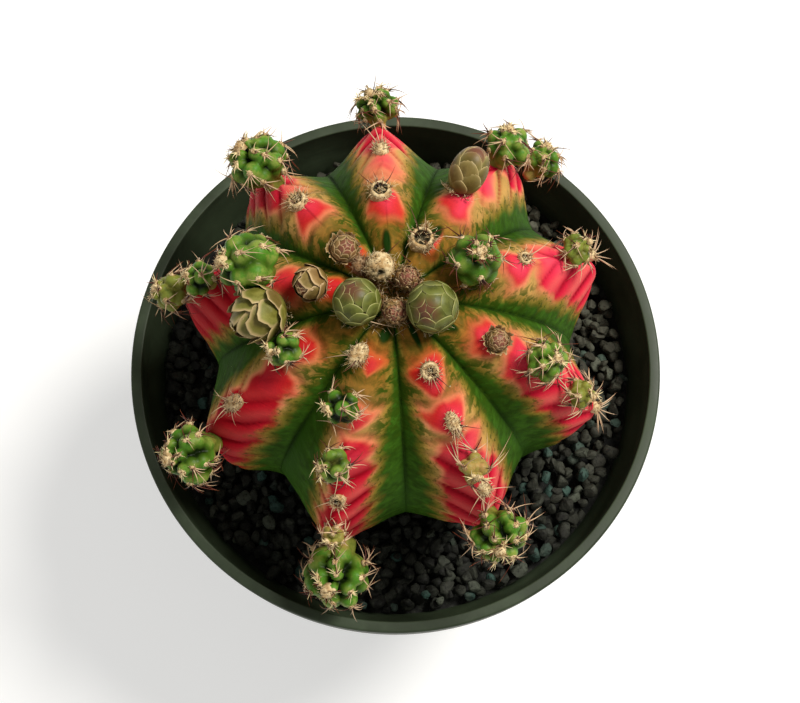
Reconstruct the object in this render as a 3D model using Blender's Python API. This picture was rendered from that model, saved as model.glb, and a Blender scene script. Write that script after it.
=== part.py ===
"""A variegated moon cactus in a round nursery pot.

The plant is a flattened globe with nine sharp ribs. It stands in gritty mix under a dressing of
dark gravel, carries offsets, flower buds and spined areoles along its ribs, and has a short
taproot below. Metres, +Z up, origin at the centre of the pot's flat underside.
"""

import math

import bmesh
import bpy
from mathutils import Matrix, Vector, noise

GAP = 0.0003  # clearance between pieces that touch
MM = 0.001

# Pot
POT_HEIGHT = 92 * MM
RIM_RADIUS = 60 * MM
RIM_WIDTH = 2.5 * MM
COLLAR_HEIGHT = 10 * MM
WALL = 1.3 * MM
FLOOR = 2.4 * MM
BASE_RADIUS = 43 * MM
DRAIN_COUNT = 8
DRAIN_CIRCLE = 30 * MM
DRAIN_RADIUS = 3.5 * MM
CHANNEL_DEPTH = 1.0 * MM
POT_SEGMENTS = 48

# Ground
GRAVEL_TOP = POT_HEIGHT - 12 * MM
GRAVEL_THICKNESS = 7 * MM
GRAVEL_BUMP = 1.2 * MM
GRAIN_SIZE = 4 * MM
MIX_TOP = GRAVEL_TOP - GRAVEL_THICKNESS - GAP

# Stem: an ellipsoid of revolution with ribs cut into it
STEM_X, STEM_Y = -0.5 * MM, 3.0 * MM
STEM_RADIUS = 45.7 * MM
EQUATOR_Z = POT_HEIGHT + 15 * MM
CROWN_RISE = 32 * MM
LOWER_DROP = 40 * MM
RIB_AZIMUTHS = (17, 55, 94, 132, 171, 211, 253, 296, 337)
VALLEY_DEPTH = 7.8 * MM
STEP_ACROSS_RIB = 6
CROWN_DIP = 1.6 * MM
NECK_Z = 58 * MM
FOOT_STEPS = ((1.0, 0.0), (0.72, 0.45), (0.36, 1.0))  # share of the foot's radius, of its depth

# Roots
TAPROOT_RADIUS = 8 * MM
TAPROOT_TIP_Z = 14 * MM
SIDE_ROOTS = 6

# What grows on the ribs. Each row: name, rib number (1 to 9), degrees from the crown along the
# rib, degrees to the side of the ridge, diameter in mm, lobes.
OFFSETS = (
    ("offset_rib1_crown", 1, 19, 4, 11.0, 5),
    ("offset_rib1_outer", 1, 54, 2, 7.0, 5),
    ("offset_rib2_middle", 2, 58, 1, 9.6, 6),
    ("offset_rib2_tip", 2, 78, -6, 8.6, 5),
    ("offset_rib3_tip", 3, 74, 0, 9.2, 5),
    ("offset_rib4_tip", 4, 52, 0, 12.8, 6),
    ("offset_rib5_crown", 5, 34, -4, 11.8, 6),
    ("offset_rib5_middle", 5, 53, 0, 7.6, 5),
    ("offset_rib5_tip", 5, 69, 2, 8.6, 5),
    ("offset_rib6_crown", 6, 28, -4, 7.6, 5),
    ("offset_rib6_tip", 6, 75, 3, 12.2, 6),
    ("offset_rib7_crown", 7, 29, -6, 7.6, 5),
    ("offset_rib7_middle", 7, 44, -2, 7.4, 5),
    ("offset_rib7_outer", 7, 73, 2, 5.0, 5),
    ("offset_rib7_tip", 7, 96, 4, 13.4, 7),
    ("offset_rib8_middle", 8, 48, 0, 6.6, 4),
    ("offset_rib8_tip", 8, 74, 0, 11.4, 6),
    ("offset_rib9_middle", 9, 40, 1, 9.0, 6),
    ("offset_rib9_outer", 9, 58, -1, 6.4, 5),
)
OFFSET_LEAN = 12  # degrees away from the crown, for offsets that grow above LEAN_LIMIT
LEAN_LIMIT = 60
# Flower buds. Each row: name, azimuth, degrees from the crown, diameter in mm, length over
# diameter, degrees that it leans away from the crown.
BUDS = (
    ("bud_crown_left", 200, 9.5, 10.0, 0.95, 0),
    ("bud_crown_right", 335, 11, 10.4, 1.0, 0),
    ("bud_crown_small_back", 45, 5.5, 4.6, 1.0, 0),
    ("bud_crown_small_front", 278, 5, 4.6, 0.9, 0),
    ("bud_crown_woolly", 115, 7.5, 5.6, 1.0, 0),
    ("bud_rib2", 60, 35, 8.0, 1.35, 30),
    ("bud_rib4", 136, 16, 5.6, 0.85, 0),
    ("bud_rib5_small", 173, 19, 5.8, 1.1, 0),
    ("bud_rib5_open", 188, 29, 9.0, 0.9, 20),
    ("bud_rib9", 337, 28, 4.4, 0.9, 0),
)
# Areoles with their spines. Each row: rib number, degrees from the crown along the rib, degrees
# to the side of the ridge, cushion diameter in mm, number of spines.
AREOLES = (
    (1, 37, 2, 3.2, 4),
    (1, 76, 3, 3.0, 6),
    (2, 16, 8, 4.6, 4),
    (3, 29, 2, 4.6, 4),
    (3, 47, 0, 3.6, 4),
    (4, 38, 0, 4.0, 4),
    (6, 53, 0, 3.8, 6),
    (7, 17, -12, 3.8, 3),
    (7, 59, 1, 3.0, 4),
    (8, 21, 0, 3.8, 3),
    (8, 36, 0, 3.4, 5),
    (8, 60, 1, 2.8, 5),
    (9, 80, 1, 3.0, 7),
) + tuple((rib, 108, 0, 2.6, 4) for rib in range(1, 10))
SPINE_LENGTH = 5.5 * MM


def clear_scene():
    for obj in list(bpy.data.objects):
        bpy.data.objects.remove(obj)


def material(name, colour, roughness, metallic=0.0):
    made = bpy.data.materials.new(name)
    made.use_nodes = True
    shader = made.node_tree.nodes["Principled BSDF"]
    shader.inputs["Base Color"].default_value = (*colour, 1.0)
    shader.inputs["Roughness"].default_value = roughness
    shader.inputs["Metallic"].default_value = metallic
    made.diffuse_color = (*colour, 1.0)
    return made


def finished(name, mesh_data, finish, smooth_angle=None):
    """Makes bmesh data an object of the scene, with outward normals."""
    bmesh.ops.recalc_face_normals(mesh_data, faces=mesh_data.faces)
    mesh = bpy.data.meshes.new(name)
    mesh_data.to_mesh(mesh)
    mesh_data.free()
    mesh.shade_smooth()
    if smooth_angle:
        mesh.set_sharp_from_angle(angle=math.radians(smooth_angle))
    obj = bpy.data.objects.new(name, mesh)
    bpy.context.scene.collection.objects.link(obj)
    if finish:
        mesh.materials.append(finish)
    return obj


def smoothstep(low, high, value):
    share = min(1.0, max(0.0, (value - low) / (high - low)))
    return share * share * (3 - 2 * share)


def polar(radius, azimuth, z):
    return Vector((radius * math.cos(azimuth), radius * math.sin(azimuth), z))


def skin(mesh_data, rings, first=None, last=None):
    """Joins equal rings of points with quads and closes each end with a fan."""
    rows = [[mesh_data.verts.new(p) for p in ring] for ring in rings]
    for above, below in zip(rows, rows[1:]):
        count = len(above)
        for i in range(count):
            j = (i + 1) % count
            mesh_data.faces.new((above[i], above[j], below[j], below[i]))
    for row, tip in ((rows[0], first), (rows[-1], last)):
        if tip is None:
            mesh_data.faces.new(row)
            continue
        centre = mesh_data.verts.new(tip)
        for i, vertex in enumerate(row):
            mesh_data.faces.new((centre, vertex, row[(i + 1) % len(row)]))


def lathe(name, outline, segments, finish, centre=(0.0, 0.0), smooth_angle=30):
    """Turns an outline of (radius, z) about Z. It starts and ends on the axis."""
    angles = [math.tau * i / segments for i in range(segments)]
    shift = Vector((*centre, 0.0))
    rings = [[polar(r, a, z) + shift for a in angles] for r, z in outline[1:-1]]
    data = bmesh.new()
    skin(data, rings, shift + Vector((0, 0, outline[0][1])), shift + Vector((0, 0, outline[-1][1])))
    return finished(name, data, finish, smooth_angle)


# ---- the stem's surface -------------------------------------------------------------------


def ridge_profile(degrees):
    """(radius, z) of the ribs' envelope, by degrees from the crown."""
    angle = math.radians(degrees)
    drop = CROWN_RISE if degrees <= 90 else LOWER_DROP
    dip = CROWN_DIP * (1 - smoothstep(0, 16, degrees))
    return STEM_RADIUS * math.sin(angle), EQUATOR_Z + drop * math.cos(angle) - dip


def ridge_normal(degrees, azimuth):
    before, after = ridge_profile(degrees - 0.5), ridge_profile(degrees + 0.5)
    along = (after[0] - before[0], after[1] - before[1])
    length = math.hypot(*along)
    return polar(-along[1] / length, azimuth, along[0] / length)


def envelope_point(degrees, azimuth):
    radius, z = ridge_profile(degrees)
    return polar(radius, azimuth, z) + Vector((STEM_X, STEM_Y, 0))


def share_to_valley(azimuth):
    """How far an azimuth in degrees lies from its rib's ridge (0) towards the valley (1)."""
    ribs = len(RIB_AZIMUTHS)
    for i in range(ribs):
        ridge = RIB_AZIMUTHS[i]
        following = RIB_AZIMUTHS[(i + 1) % ribs] + (360 if i == ribs - 1 else 0)
        ahead = (azimuth - ridge) % 360
        if ahead <= following - ridge:
            share = ahead / ((following - ridge) / 2)
            return min(share, 2 - share)
    return 0.0


def valley_inset(degrees, share):
    """How far the surface lies under the ribs' envelope."""
    rounded = share**2.2  # full lobes with a sharp groove, near the crown
    keeled = 1 - (1 - share) ** 1.5  # a sharp ridge over a wide valley, at the equator
    mix = smoothstep(20, 75, degrees)
    depth = VALLEY_DEPTH * math.sin(math.radians(min(degrees, 90))) ** 0.8
    depth *= 1 - 0.45 * smoothstep(90, 135, degrees)
    return depth * ((1 - mix) * rounded + mix * keeled)


def stem_point(degrees, azimuth):
    inset = valley_inset(degrees, share_to_valley(azimuth))
    turned = math.radians(azimuth)
    return envelope_point(degrees, turned) - ridge_normal(degrees, turned) * inset


def rib_columns():
    """Azimuths in degrees, with a column on every ridge and in every valley."""
    columns = []
    ribs = len(RIB_AZIMUTHS)
    for i, ridge in enumerate(RIB_AZIMUTHS):
        following = RIB_AZIMUTHS[(i + 1) % ribs] + (360 if i == ribs - 1 else 0)
        step = (following - ridge) / STEP_ACROSS_RIB
        columns += [ridge + step * k for k in range(STEP_ACROSS_RIB)]
    return columns


def degrees_at(z):
    """Degrees from the crown at which the lower half of the envelope reaches a height."""
    return math.degrees(math.acos((z - EQUATOR_Z) / LOWER_DROP))


def make_stem(finish):
    buried = degrees_at(MIX_TOP + GAP)
    rows = 22
    steps = [4 + (buried - 4) * i / (rows - 1) for i in range(rows)]
    columns = rib_columns()
    rings = [[stem_point(d, a) for a in columns] for d in steps]
    axis = Vector((STEM_X, STEM_Y, 0))
    lowest_z = rings[-1][0].z
    for share, depth in FOOT_STEPS[1:]:
        z = lowest_z + (NECK_Z - lowest_z) * depth
        narrowed = [(p - axis) * share for p in rings[rows - 1]]
        rings.append([axis + Vector((p.x, p.y, z)) for p in narrowed])
    top = axis + Vector((0, 0, ridge_profile(0)[1]))
    data = bmesh.new()
    skin(data, rings, top, axis + Vector((0, 0, NECK_Z)))
    return finished("cactus_stem", data, finish, 50)


# ---- pot and ground -----------------------------------------------------------------------


def cylinder(data, radius, low, high, x, y, sides=16):
    place = Matrix.Translation((x, y, (low + high) / 2))
    bmesh.ops.create_cone(
        data, cap_ends=True, segments=sides, radius1=radius, radius2=radius, depth=high - low, matrix=place
    )


def as_cutter(obj):
    obj.hide_render = True
    obj.display_type = "WIRE"
    return obj


def drain_cutters():
    """Round holes through the floor, each on a shallow channel that runs out to the side."""
    data = bmesh.new()
    for i in range(DRAIN_COUNT):
        turn = math.tau * (i + 0.5) / DRAIN_COUNT
        place = polar(DRAIN_CIRCLE, turn, 0)
        cylinder(data, DRAIN_RADIUS, -2 * FLOOR, 2 * FLOOR, place.x, place.y)
    holes = finished("cutter_drain_holes", data, None)
    data = bmesh.new()
    inner, outer = DRAIN_CIRCLE - 9 * MM, BASE_RADIUS + 5 * MM
    for i in range(DRAIN_COUNT):
        turn = math.tau * (i + 0.5) / DRAIN_COUNT
        place = Matrix.Rotation(turn, 4, "Z") @ Matrix.Translation(((inner + outer) / 2, 0, 0))
        size = Matrix.Diagonal((outer - inner, 4 * MM, 2 * CHANNEL_DEPTH, 1))
        bmesh.ops.create_cube(data, size=1, matrix=place @ size)
    channels = finished("cutter_drain_channels", data, None)
    return as_cutter(holes), as_cutter(channels)


def wall_radius(z):
    """Outer radius of the tapered wall."""
    top = POT_HEIGHT - COLLAR_HEIGHT
    return BASE_RADIUS + (RIM_RADIUS - RIM_WIDTH - BASE_RADIUS) * z / top


def make_pot(finish):
    collar_foot = POT_HEIGHT - COLLAR_HEIGHT
    outline = (
        (0, 0),
        (BASE_RADIUS - 1.5 * MM, 0),
        (BASE_RADIUS, 1.5 * MM),
        (wall_radius(collar_foot), collar_foot),
        (RIM_RADIUS - 0.8 * MM, collar_foot + 0.6 * MM),
        (RIM_RADIUS, collar_foot + 1.6 * MM),
        (RIM_RADIUS, POT_HEIGHT - 1.2 * MM),
        (RIM_RADIUS - 0.8 * MM, POT_HEIGHT),
        (RIM_RADIUS - RIM_WIDTH + 0.6 * MM, POT_HEIGHT),
        (RIM_RADIUS - RIM_WIDTH, POT_HEIGHT - 0.8 * MM),
        (RIM_RADIUS - RIM_WIDTH - 0.2 * MM, collar_foot + 1 * MM),
        (wall_radius(collar_foot) - WALL, collar_foot - 0.5 * MM),
        (wall_radius(FLOOR) - WALL, FLOOR + 1.5 * MM),
        (wall_radius(FLOOR) - WALL - 1.5 * MM, FLOOR),
        (0, FLOOR),
    )
    pot = lathe("pot", outline, POT_SEGMENTS, finish)
    for cutter in drain_cutters():
        cut = pot.modifiers.new(cutter.name, "BOOLEAN")
        cut.operation = "DIFFERENCE"
        cut.object = cutter
    return pot


def root_curves():
    """Centre lines of the side roots: (points, radii), each leaving the taproot."""
    lines = []
    for i in range(SIDE_ROOTS):
        turn = math.tau * (i + 0.3) / SIDE_ROOTS
        start_z = 50 * MM - 5 * MM * (i % 3)
        reach = (24 + 4 * (i % 2)) * MM
        points, radii = [], []
        for k in range(6):
            share = k / 5
            radius = 2 * MM + (reach - 2 * MM) * share
            sway = 0.35 * math.sin(2.2 * share + i)
            drop = 26 * MM * share**1.6
            points.append(polar(radius, turn + sway * share, start_z - drop) + Vector((STEM_X, STEM_Y, 0)))
            radii.append((1.6 - 1.0 * share) * MM)
        lines.append((points, radii))
    return lines


def foot_outline(extra):
    """(radius, z) of the stem's buried foot, from the top of the mix down to its neck."""
    radius = ridge_profile(degrees_at(MIX_TOP + GAP))[0]
    top = MIX_TOP + GAP
    return [
        (radius * share + extra, top + (NECK_Z - top) * depth - (extra / 2 if depth else 0))
        for share, depth in FOOT_STEPS
    ]


def make_roots(name, finish, extra=0.0, upper_outline=()):
    """The taproot with its side roots, all radii grown by extra."""
    top = NECK_Z - GAP - extra
    outline = [*upper_outline] or [(0, top)]
    outline += [
        (TAPROOT_RADIUS * 0.9 + extra, top),
        (TAPROOT_RADIUS + extra, top - 6 * MM),
        (TAPROOT_RADIUS * 0.66 + extra, top - 18 * MM),
        (TAPROOT_RADIUS * 0.32 + extra, top - 32 * MM),
        (0, TAPROOT_TIP_Z - extra),
    ]
    roots = lathe(name, outline, 12, finish, (STEM_X, STEM_Y), None)
    for i, (points, radii) in enumerate(root_curves()):
        data = bmesh.new()
        rings = []
        for k, (point, radius) in enumerate(zip(points, radii)):
            along = (points[min(k + 1, 5)] - points[max(k - 1, 0)]).normalized()
            side = along.cross(Vector((0, 0, 1))).normalized()
            over = side.cross(along)
            ring = [math.tau * j / 6 for j in range(6)]
            rings.append([point + (side * math.cos(a) + over * math.sin(a)) * (radius + extra) for a in ring])
        skin(data, rings)
        side_root = finished(f"{name}_side_{i + 1}", data, None)
        as_cutter(side_root)
        join = roots.modifiers.new(side_root.name, "BOOLEAN")
        join.operation = "UNION"
        join.object = side_root
    return roots


def make_mix(finish):
    """The root ball of gritty mix, hollowed where the stem's foot and the roots sit."""
    low = FLOOR + GAP
    outline = (
        (0, low),
        (wall_radius(low) - WALL - 2.4 * MM, low),
        (wall_radius(low + 2.2 * MM) - WALL - 0.6 * MM, low + 2.2 * MM),
        (wall_radius(MIX_TOP) - WALL - 0.5 * MM, MIX_TOP),
        (0, MIX_TOP),
    )
    mix = lathe("potting_mix", outline, 36, finish)
    clearance = 1.0 * MM
    foot = foot_outline(clearance)
    above = MIX_TOP + 5 * MM
    hollow = make_roots("cutter_roots", None, GAP, [(0, above), (foot[0][0], above), *foot])
    as_cutter(hollow)
    cut = mix.modifiers.new("root_hollow", "BOOLEAN")
    cut.operation = "DIFFERENCE"
    cut.object = hollow
    return mix


def make_gravel(finish):
    """A bumpy ring of top dressing, from the stem's ribs to the pot's wall."""
    outer_top = wall_radius(GRAVEL_TOP) - WALL - 0.6 * MM
    outer_low = wall_radius(GRAVEL_TOP - GRAVEL_THICKNESS) - WALL - 0.6 * MM
    low_z = GRAVEL_TOP - GRAVEL_THICKNESS
    columns = rib_columns()
    stem_top = [stem_point(degrees_at(GRAVEL_TOP + GRAVEL_BUMP), a) for a in columns]
    stem_low = [stem_point(degrees_at(low_z), a) for a in columns]

    def ring(share, z, inner, outer_radius, bump):
        points = []
        for near in inner:
            away = Vector((near.x - STEM_X, near.y - STEM_Y, 0)).normalized()
            start = Vector((near.x, near.y, 0)) + away * 0.8 * MM
            end = Vector((start.x, start.y, 0)).normalized() * outer_radius
            place = start.lerp(end, share)
            height = bump * noise.noise(Vector((place.x, place.y, 0)) / GRAIN_SIZE)
            points.append(Vector((place.x, place.y, z + height)))
        return points

    rings = [ring(share, GRAVEL_TOP, stem_top, outer_top, GRAVEL_BUMP) for share in (0, 0.25, 0.5, 0.75, 1)]
    rings += [ring(1, low_z, stem_low, outer_low, 0), ring(0, low_z, stem_low, outer_low, 0)]
    data = bmesh.new()
    rows = [[data.verts.new(p) for p in points] for points in rings]
    count = len(columns)
    for above, below in zip(rows, rows[1:] + rows[:1]):
        for i in range(count):
            j = (i + 1) % count
            data.faces.new((above[i], above[j], below[j], below[i]))
    return finished("gravel_dressing", data, finish, 30)


# ---- what grows on the stem ---------------------------------------------------------------


def growth_frame(azimuth, degrees, lean=0.0):
    """A matrix with its origin on the envelope and Z along the way a growth points.

    X runs along the ridge, away from the crown. A lean tips Z towards X.
    """
    turned = math.radians(azimuth)
    up = ridge_normal(degrees, turned)
    across = polar(1, turned + math.pi / 2, 0)
    along = across.cross(up).normalized()
    axes = Matrix((along, across, up)).transposed().to_4x4()
    place = Matrix.Translation(envelope_point(degrees, turned))
    return place @ axes @ Matrix.Rotation(math.radians(lean), 4, "Y")


def lobed_ball(name, frame, diameter, lobes, length_ratio, finish, lobe_depth, foot=0.45):
    """A lobed globe on a narrow foot, standing on its frame's origin."""
    radius = diameter / 2
    segments = 3 * lobes
    rings = []
    for k in range(1, 7):
        polar_angle = math.pi * k / 7
        height = radius * length_ratio * (1 + math.cos(polar_angle))
        wide = radius * math.sin(polar_angle)
        wide *= 1 - (1 - foot) * smoothstep(0.62, 1.0, k / 7)
        ring = []
        for i in range(segments):
            turn = math.tau * i / segments
            out = wide * (1 - lobe_depth * (0.5 - 0.5 * math.cos(lobes * turn)))
            ring.append(frame @ polar(out, turn, height + GAP))
        rings.append(ring)
    top = frame @ Vector((0, 0, 2 * radius * length_ratio * 0.97 + GAP))
    data = bmesh.new()
    skin(data, rings, top, frame @ Vector((0, 0, GAP)))
    return finished(name, data, finish, 60)


def make_areole(name, frame, diameter, spines, finish):
    """A woolly cushion whose spines are drawn out of its own faces, in one solid."""
    data = bmesh.new()
    bmesh.ops.create_icosphere(data, subdivisions=2, radius=diameter / 2)
    data.faces.ensure_lookup_table()
    sideways = [f for f in data.faces if 0.25 < f.calc_center_median().normalized().z < 0.8]
    sideways.sort(key=lambda f: math.atan2(f.calc_center_median().y, f.calc_center_median().x))
    chosen = [sideways[int((i + 0.5) * len(sideways) / spines)] for i in range(spines)]
    for face in chosen:
        middle = face.calc_center_median()
        point = (middle.normalized() + Vector((0, 0, 0.25))).normalized() * SPINE_LENGTH + middle
        tip = bmesh.ops.poke(data, faces=[face])["verts"][0]
        tip.co = point
    flat = Matrix.Diagonal((1, 1, 0.55, 1))
    lift = Matrix.Translation((0, 0, diameter / 2 * 0.55 + GAP))
    bmesh.ops.transform(data, matrix=frame @ lift @ flat, verts=data.verts)
    return finished(name, data, finish)


def make_growths(finishes):
    for name, rib, degrees, side, diameter, lobes in OFFSETS:
        lean = OFFSET_LEAN if degrees < LEAN_LIMIT else 0
        frame = growth_frame(RIB_AZIMUTHS[rib - 1] + side, degrees, lean)
        lobed_ball(name, frame, diameter * MM, lobes, 0.92, finishes["offset"], 0.22)
    for name, azimuth, degrees, diameter, length_ratio, lean in BUDS:
        frame = growth_frame(azimuth, degrees, lean)
        lobed_ball(name, frame, diameter * MM, 5, length_ratio, finishes["bud"], 0.06, 0.7)
    counts = {}
    for rib, degrees, side, diameter, spines in AREOLES:
        counts[rib] = counts.get(rib, 0) + 1
        frame = growth_frame(RIB_AZIMUTHS[rib - 1] + side, degrees)
        make_areole(f"areole_rib{rib}_{counts[rib]}", frame, diameter * MM, spines, finishes["wool"])


def main():
    clear_scene()
    finishes = {
        "stem": material("stem_flesh", (0.62, 0.16, 0.12), 0.45),
        "offset": material("offset_flesh", (0.16, 0.34, 0.08), 0.45),
        "bud": material("bud_scales", (0.28, 0.27, 0.12), 0.5),
        "wool": material("wool_and_spines", (0.62, 0.5, 0.34), 0.85),
    }
    make_pot(material("pot_plastic", (0.035, 0.05, 0.04), 0.5))
    make_mix(material("potting_mix", (0.03, 0.022, 0.018), 0.95))
    make_gravel(material("gravel", (0.035, 0.04, 0.042), 0.9))
    make_roots("roots", material("root_bark", (0.35, 0.22, 0.12), 0.85))
    make_stem(finishes["stem"])
    make_growths(finishes)


main()
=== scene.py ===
"""Looks of the potted moon cactus: skin, offsets, buds, wool, spines, gravel and pot."""
import math
import random

from dataclasses import dataclass, replace

import bmesh
import bpy
import numpy as np
from mathutils import Matrix, Vector, noise


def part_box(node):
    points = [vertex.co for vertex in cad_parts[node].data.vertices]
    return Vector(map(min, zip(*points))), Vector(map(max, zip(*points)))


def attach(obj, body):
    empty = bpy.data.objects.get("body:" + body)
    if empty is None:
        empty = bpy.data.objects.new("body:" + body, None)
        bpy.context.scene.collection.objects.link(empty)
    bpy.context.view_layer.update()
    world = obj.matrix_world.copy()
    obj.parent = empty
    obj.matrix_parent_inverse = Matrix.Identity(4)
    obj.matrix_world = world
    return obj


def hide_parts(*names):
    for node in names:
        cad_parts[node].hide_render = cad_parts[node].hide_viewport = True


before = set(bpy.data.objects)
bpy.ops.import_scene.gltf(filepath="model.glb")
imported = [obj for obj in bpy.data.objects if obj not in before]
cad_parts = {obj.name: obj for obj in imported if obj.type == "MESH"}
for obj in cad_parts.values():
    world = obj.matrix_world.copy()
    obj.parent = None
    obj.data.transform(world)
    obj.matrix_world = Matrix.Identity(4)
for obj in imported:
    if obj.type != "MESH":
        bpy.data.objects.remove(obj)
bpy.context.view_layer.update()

MM = 0.001
TAU = math.tau
UP = Vector((0, 0, 1))

# The stem's surface, by the same rules as in the CAD model
POT_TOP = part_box("pot")[1][2]
AXIS = (-0.5 * MM, 3.0 * MM)
STEM_RADIUS = 45.7 * MM
EQUATOR_Z = POT_TOP + 15 * MM
CROWN_RISE = 32 * MM
LOWER_DROP = 40 * MM
CROWN_DIP = 1.6 * MM
VALLEY_DEPTH = 7.8 * MM
RIBS = np.array((17, 55, 94, 132, 171, 211, 253, 296, 337), dtype=float)  # azimuths in degrees
RIB_COUNT = len(RIBS)

# Its fine mesh
COLUMNS_PER_FLANK = 22
ROWS = 226
FIRST_ROW, LAST_ROW = 0.8, 140.0  # degrees from the crown
NECK_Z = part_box("cactus_stem")[0][2]

GRAVEL_TOP = POT_TOP - 12 * MM

# Camera
TARGET = Vector((1.0 * MM, 2.8 * MM, POT_TOP))
CAMERA_DISTANCE = 0.32
CAMERA_ELEVATION = 76.64  # degrees
LENS = 63.4  # mm


# ---- helpers ------------------------------------------------------------------------------


def smoothstep(low, high, value):
    share = np.clip((value - low) / (high - low), 0.0, 1.0)
    return share * share * (3 - 2 * share)


def bell(value, width):
    return np.exp(-((value / width) ** 2))


def rgb(code):
    """Linear colour from a web colour code."""
    parts = [int(code[i : i + 2], 16) / 255 for i in (1, 3, 5)]
    linear = [p / 12.92 if p <= 0.04045 else ((p + 0.055) / 1.055) ** 2.4 for p in parts]
    return (*linear, 1.0)


def level_way(turn):
    """Unit vector in the XY plane, at an angle from +X in radians."""
    return Vector((math.cos(turn), math.sin(turn), 0))


def polar_way(polar, around):
    """Unit vector at an angle from +Z, turned round Z from +X, in radians."""
    out = math.sin(polar)
    return Vector((out * math.cos(around), out * math.sin(around), math.cos(polar)))


def sphere_ways(rows, columns):
    """(polar angle, way) of each point of a ball's grid, from +Z down, and then of its poles."""
    polars = [math.pi * i / (rows + 1) for i in range(1, rows + 1)]
    ways = [(polar, polar_way(polar, TAU * j / columns)) for polar in polars for j in range(columns)]
    return ways + [(0.0, UP), (math.pi, -UP)]


def random_unit(rng):
    while True:
        place = Vector([rng.uniform(-1, 1) for _ in range(3)])
        if 0.1 < place.length < 1:
            return place.normalized()


def grid_faces(rows, columns):
    """Faces of a closed surface: quads between rings of points that run round from the top down,
    and fans to a first and a last point, which follow the rings."""
    faces = []
    for i in range(rows - 1):
        upper, lower = i * columns, (i + 1) * columns
        for j in range(columns):
            k = (j + 1) % columns
            faces.append((lower + j, lower + k, upper + k, upper + j))
    first, last = rows * columns, rows * columns + 1
    lower = (rows - 1) * columns
    for j in range(columns):
        k = (j + 1) % columns
        faces.append((j, k, first))
        faces.append((lower + k, lower + j, last))
    return faces


def turned_over(faces):
    return [face[::-1] for face in faces]


class Paint:
    """A node material under construction. Colours are web codes or sockets."""

    def __init__(self, name):
        self.material = bpy.data.materials.new(name)
        self.material.use_nodes = True
        self.tree = self.material.node_tree
        self.shader = self.tree.nodes["Principled BSDF"]

    def add(self, kind, inputs=None, **settings):
        node = self.tree.nodes.new(kind)
        for key, value in settings.items():
            setattr(node, key, value)
        for key, value in (inputs or {}).items():
            self.put(node.inputs[key], value)
        return node

    def put(self, socket, value):
        if isinstance(value, bpy.types.NodeSocket):
            self.tree.links.new(value, socket)
        else:
            socket.default_value = rgb(value) if isinstance(value, str) else value

    def number(self, attribute):
        return self.add("ShaderNodeAttribute", attribute_name=attribute).outputs["Fac"]

    def numbers(self, *attributes):
        return [self.number(attribute) for attribute in attributes]

    def vector(self, attribute):
        return self.add("ShaderNodeAttribute", attribute_name=attribute).outputs["Vector"]

    def place(self):
        return self.add("ShaderNodeTexCoord").outputs["Object"]

    def noise(self, vector, scale, detail, roughness, distortion=0.0):
        given = {"Vector": vector, "Scale": scale, "Detail": detail}
        given.update({"Roughness": roughness, "Distortion": distortion})
        return self.add("ShaderNodeTexNoise", given).outputs["Fac"]

    def cells(self, vector, scale, output="Distance"):
        return self.add("ShaderNodeTexVoronoi", {"Vector": vector, "Scale": scale}).outputs[output]

    def stretch(self, vector, factors):
        given = {0: vector, 1: factors}
        return self.add("ShaderNodeVectorMath", given, operation="MULTIPLY").outputs[0]

    def math(self, operation, first, second):
        return self.add("ShaderNodeMath", {0: first, 1: second}, operation=operation).outputs[0]

    def plus(self, first, second):
        return self.math("ADD", first, second)

    def times(self, first, second):
        return self.math("MULTIPLY", first, second)

    def centred(self, pattern, amount):
        """A pattern from 0 to 1, turned into one that swings round 0."""
        return self.times(self.math("SUBTRACT", pattern, 0.5), amount)

    def step(self, value, low, high, to_low=0.0, to_high=1.0):
        given = {"Value": value, "From Min": low, "From Max": high, "To Min": to_low, "To Max": to_high}
        node = self.add("ShaderNodeMapRange", given, interpolation_type="SMOOTHSTEP")
        return node.outputs["Result"]

    def blend(self, share, first, second, mode="MIX"):
        given = {0: share, 6: first, 7: second}
        return self.add("ShaderNodeMix", data_type="RGBA", blend_type=mode, inputs=given).outputs[2]

    def fade(self, value, low, high, first, second):
        """The second colour in place of the first as a value goes from low to high."""
        return self.blend(self.step(value, low, high), first, second)

    def bump(self, height, strength, distance, under=None):
        given = {"Height": height, "Strength": strength, "Distance": distance}
        if under:
            given["Normal"] = under
        return self.add("ShaderNodeBump", given).outputs["Normal"]

    def finish(self, colour, roughness, normal=None, **sockets):
        given = {"Base Color": colour, "Roughness": roughness}
        if normal:
            given["Normal"] = normal
        given.update({key.replace("_", " "): value for key, value in sockets.items()})
        for key, value in given.items():
            self.put(self.shader.inputs[key], value)
        return self.material


class Shape:
    """Points and faces of one object, with a number or vector for each point and attribute."""

    def __init__(self, *attributes):
        self.points = []
        self.faces = []
        self.values = {name: [] for name in attributes}

    def add(self, points, faces, **values):
        start = len(self.points)
        self.points.extend(points)
        self.faces.extend([tuple(start + i for i in face) for face in faces])
        for name, kept in self.values.items():
            given = values[name]
            kept.extend(given if hasattr(given, "__len__") else [given] * len(points))

    def finish(self, name, finish, slot, node=None, sharp=None):
        """Makes the object, which rides on the root body and may stand for a CAD node."""
        mesh = bpy.data.meshes.new(name)
        mesh.from_pydata([tuple(p) for p in self.points], [], self.faces)
        mesh.shade_smooth()
        if sharp:
            mesh.set_sharp_from_angle(angle=math.radians(sharp))
        for key, kept in self.values.items():
            given = np.array(kept, dtype=np.float32)
            kind, field = ("FLOAT", "value") if given.ndim == 1 else ("FLOAT_VECTOR", "vector")
            layer = mesh.attributes.new(key, kind, "POINT")
            layer.data.foreach_set(field, given.ravel())
        mesh.materials.append(finish)
        piece = bpy.data.objects.new(name, mesh)
        bpy.context.scene.collection.objects.link(piece)
        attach(piece, "root")
        if node:
            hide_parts(node)
        return piece


# ---- the stem's surface -------------------------------------------------------------------


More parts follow.
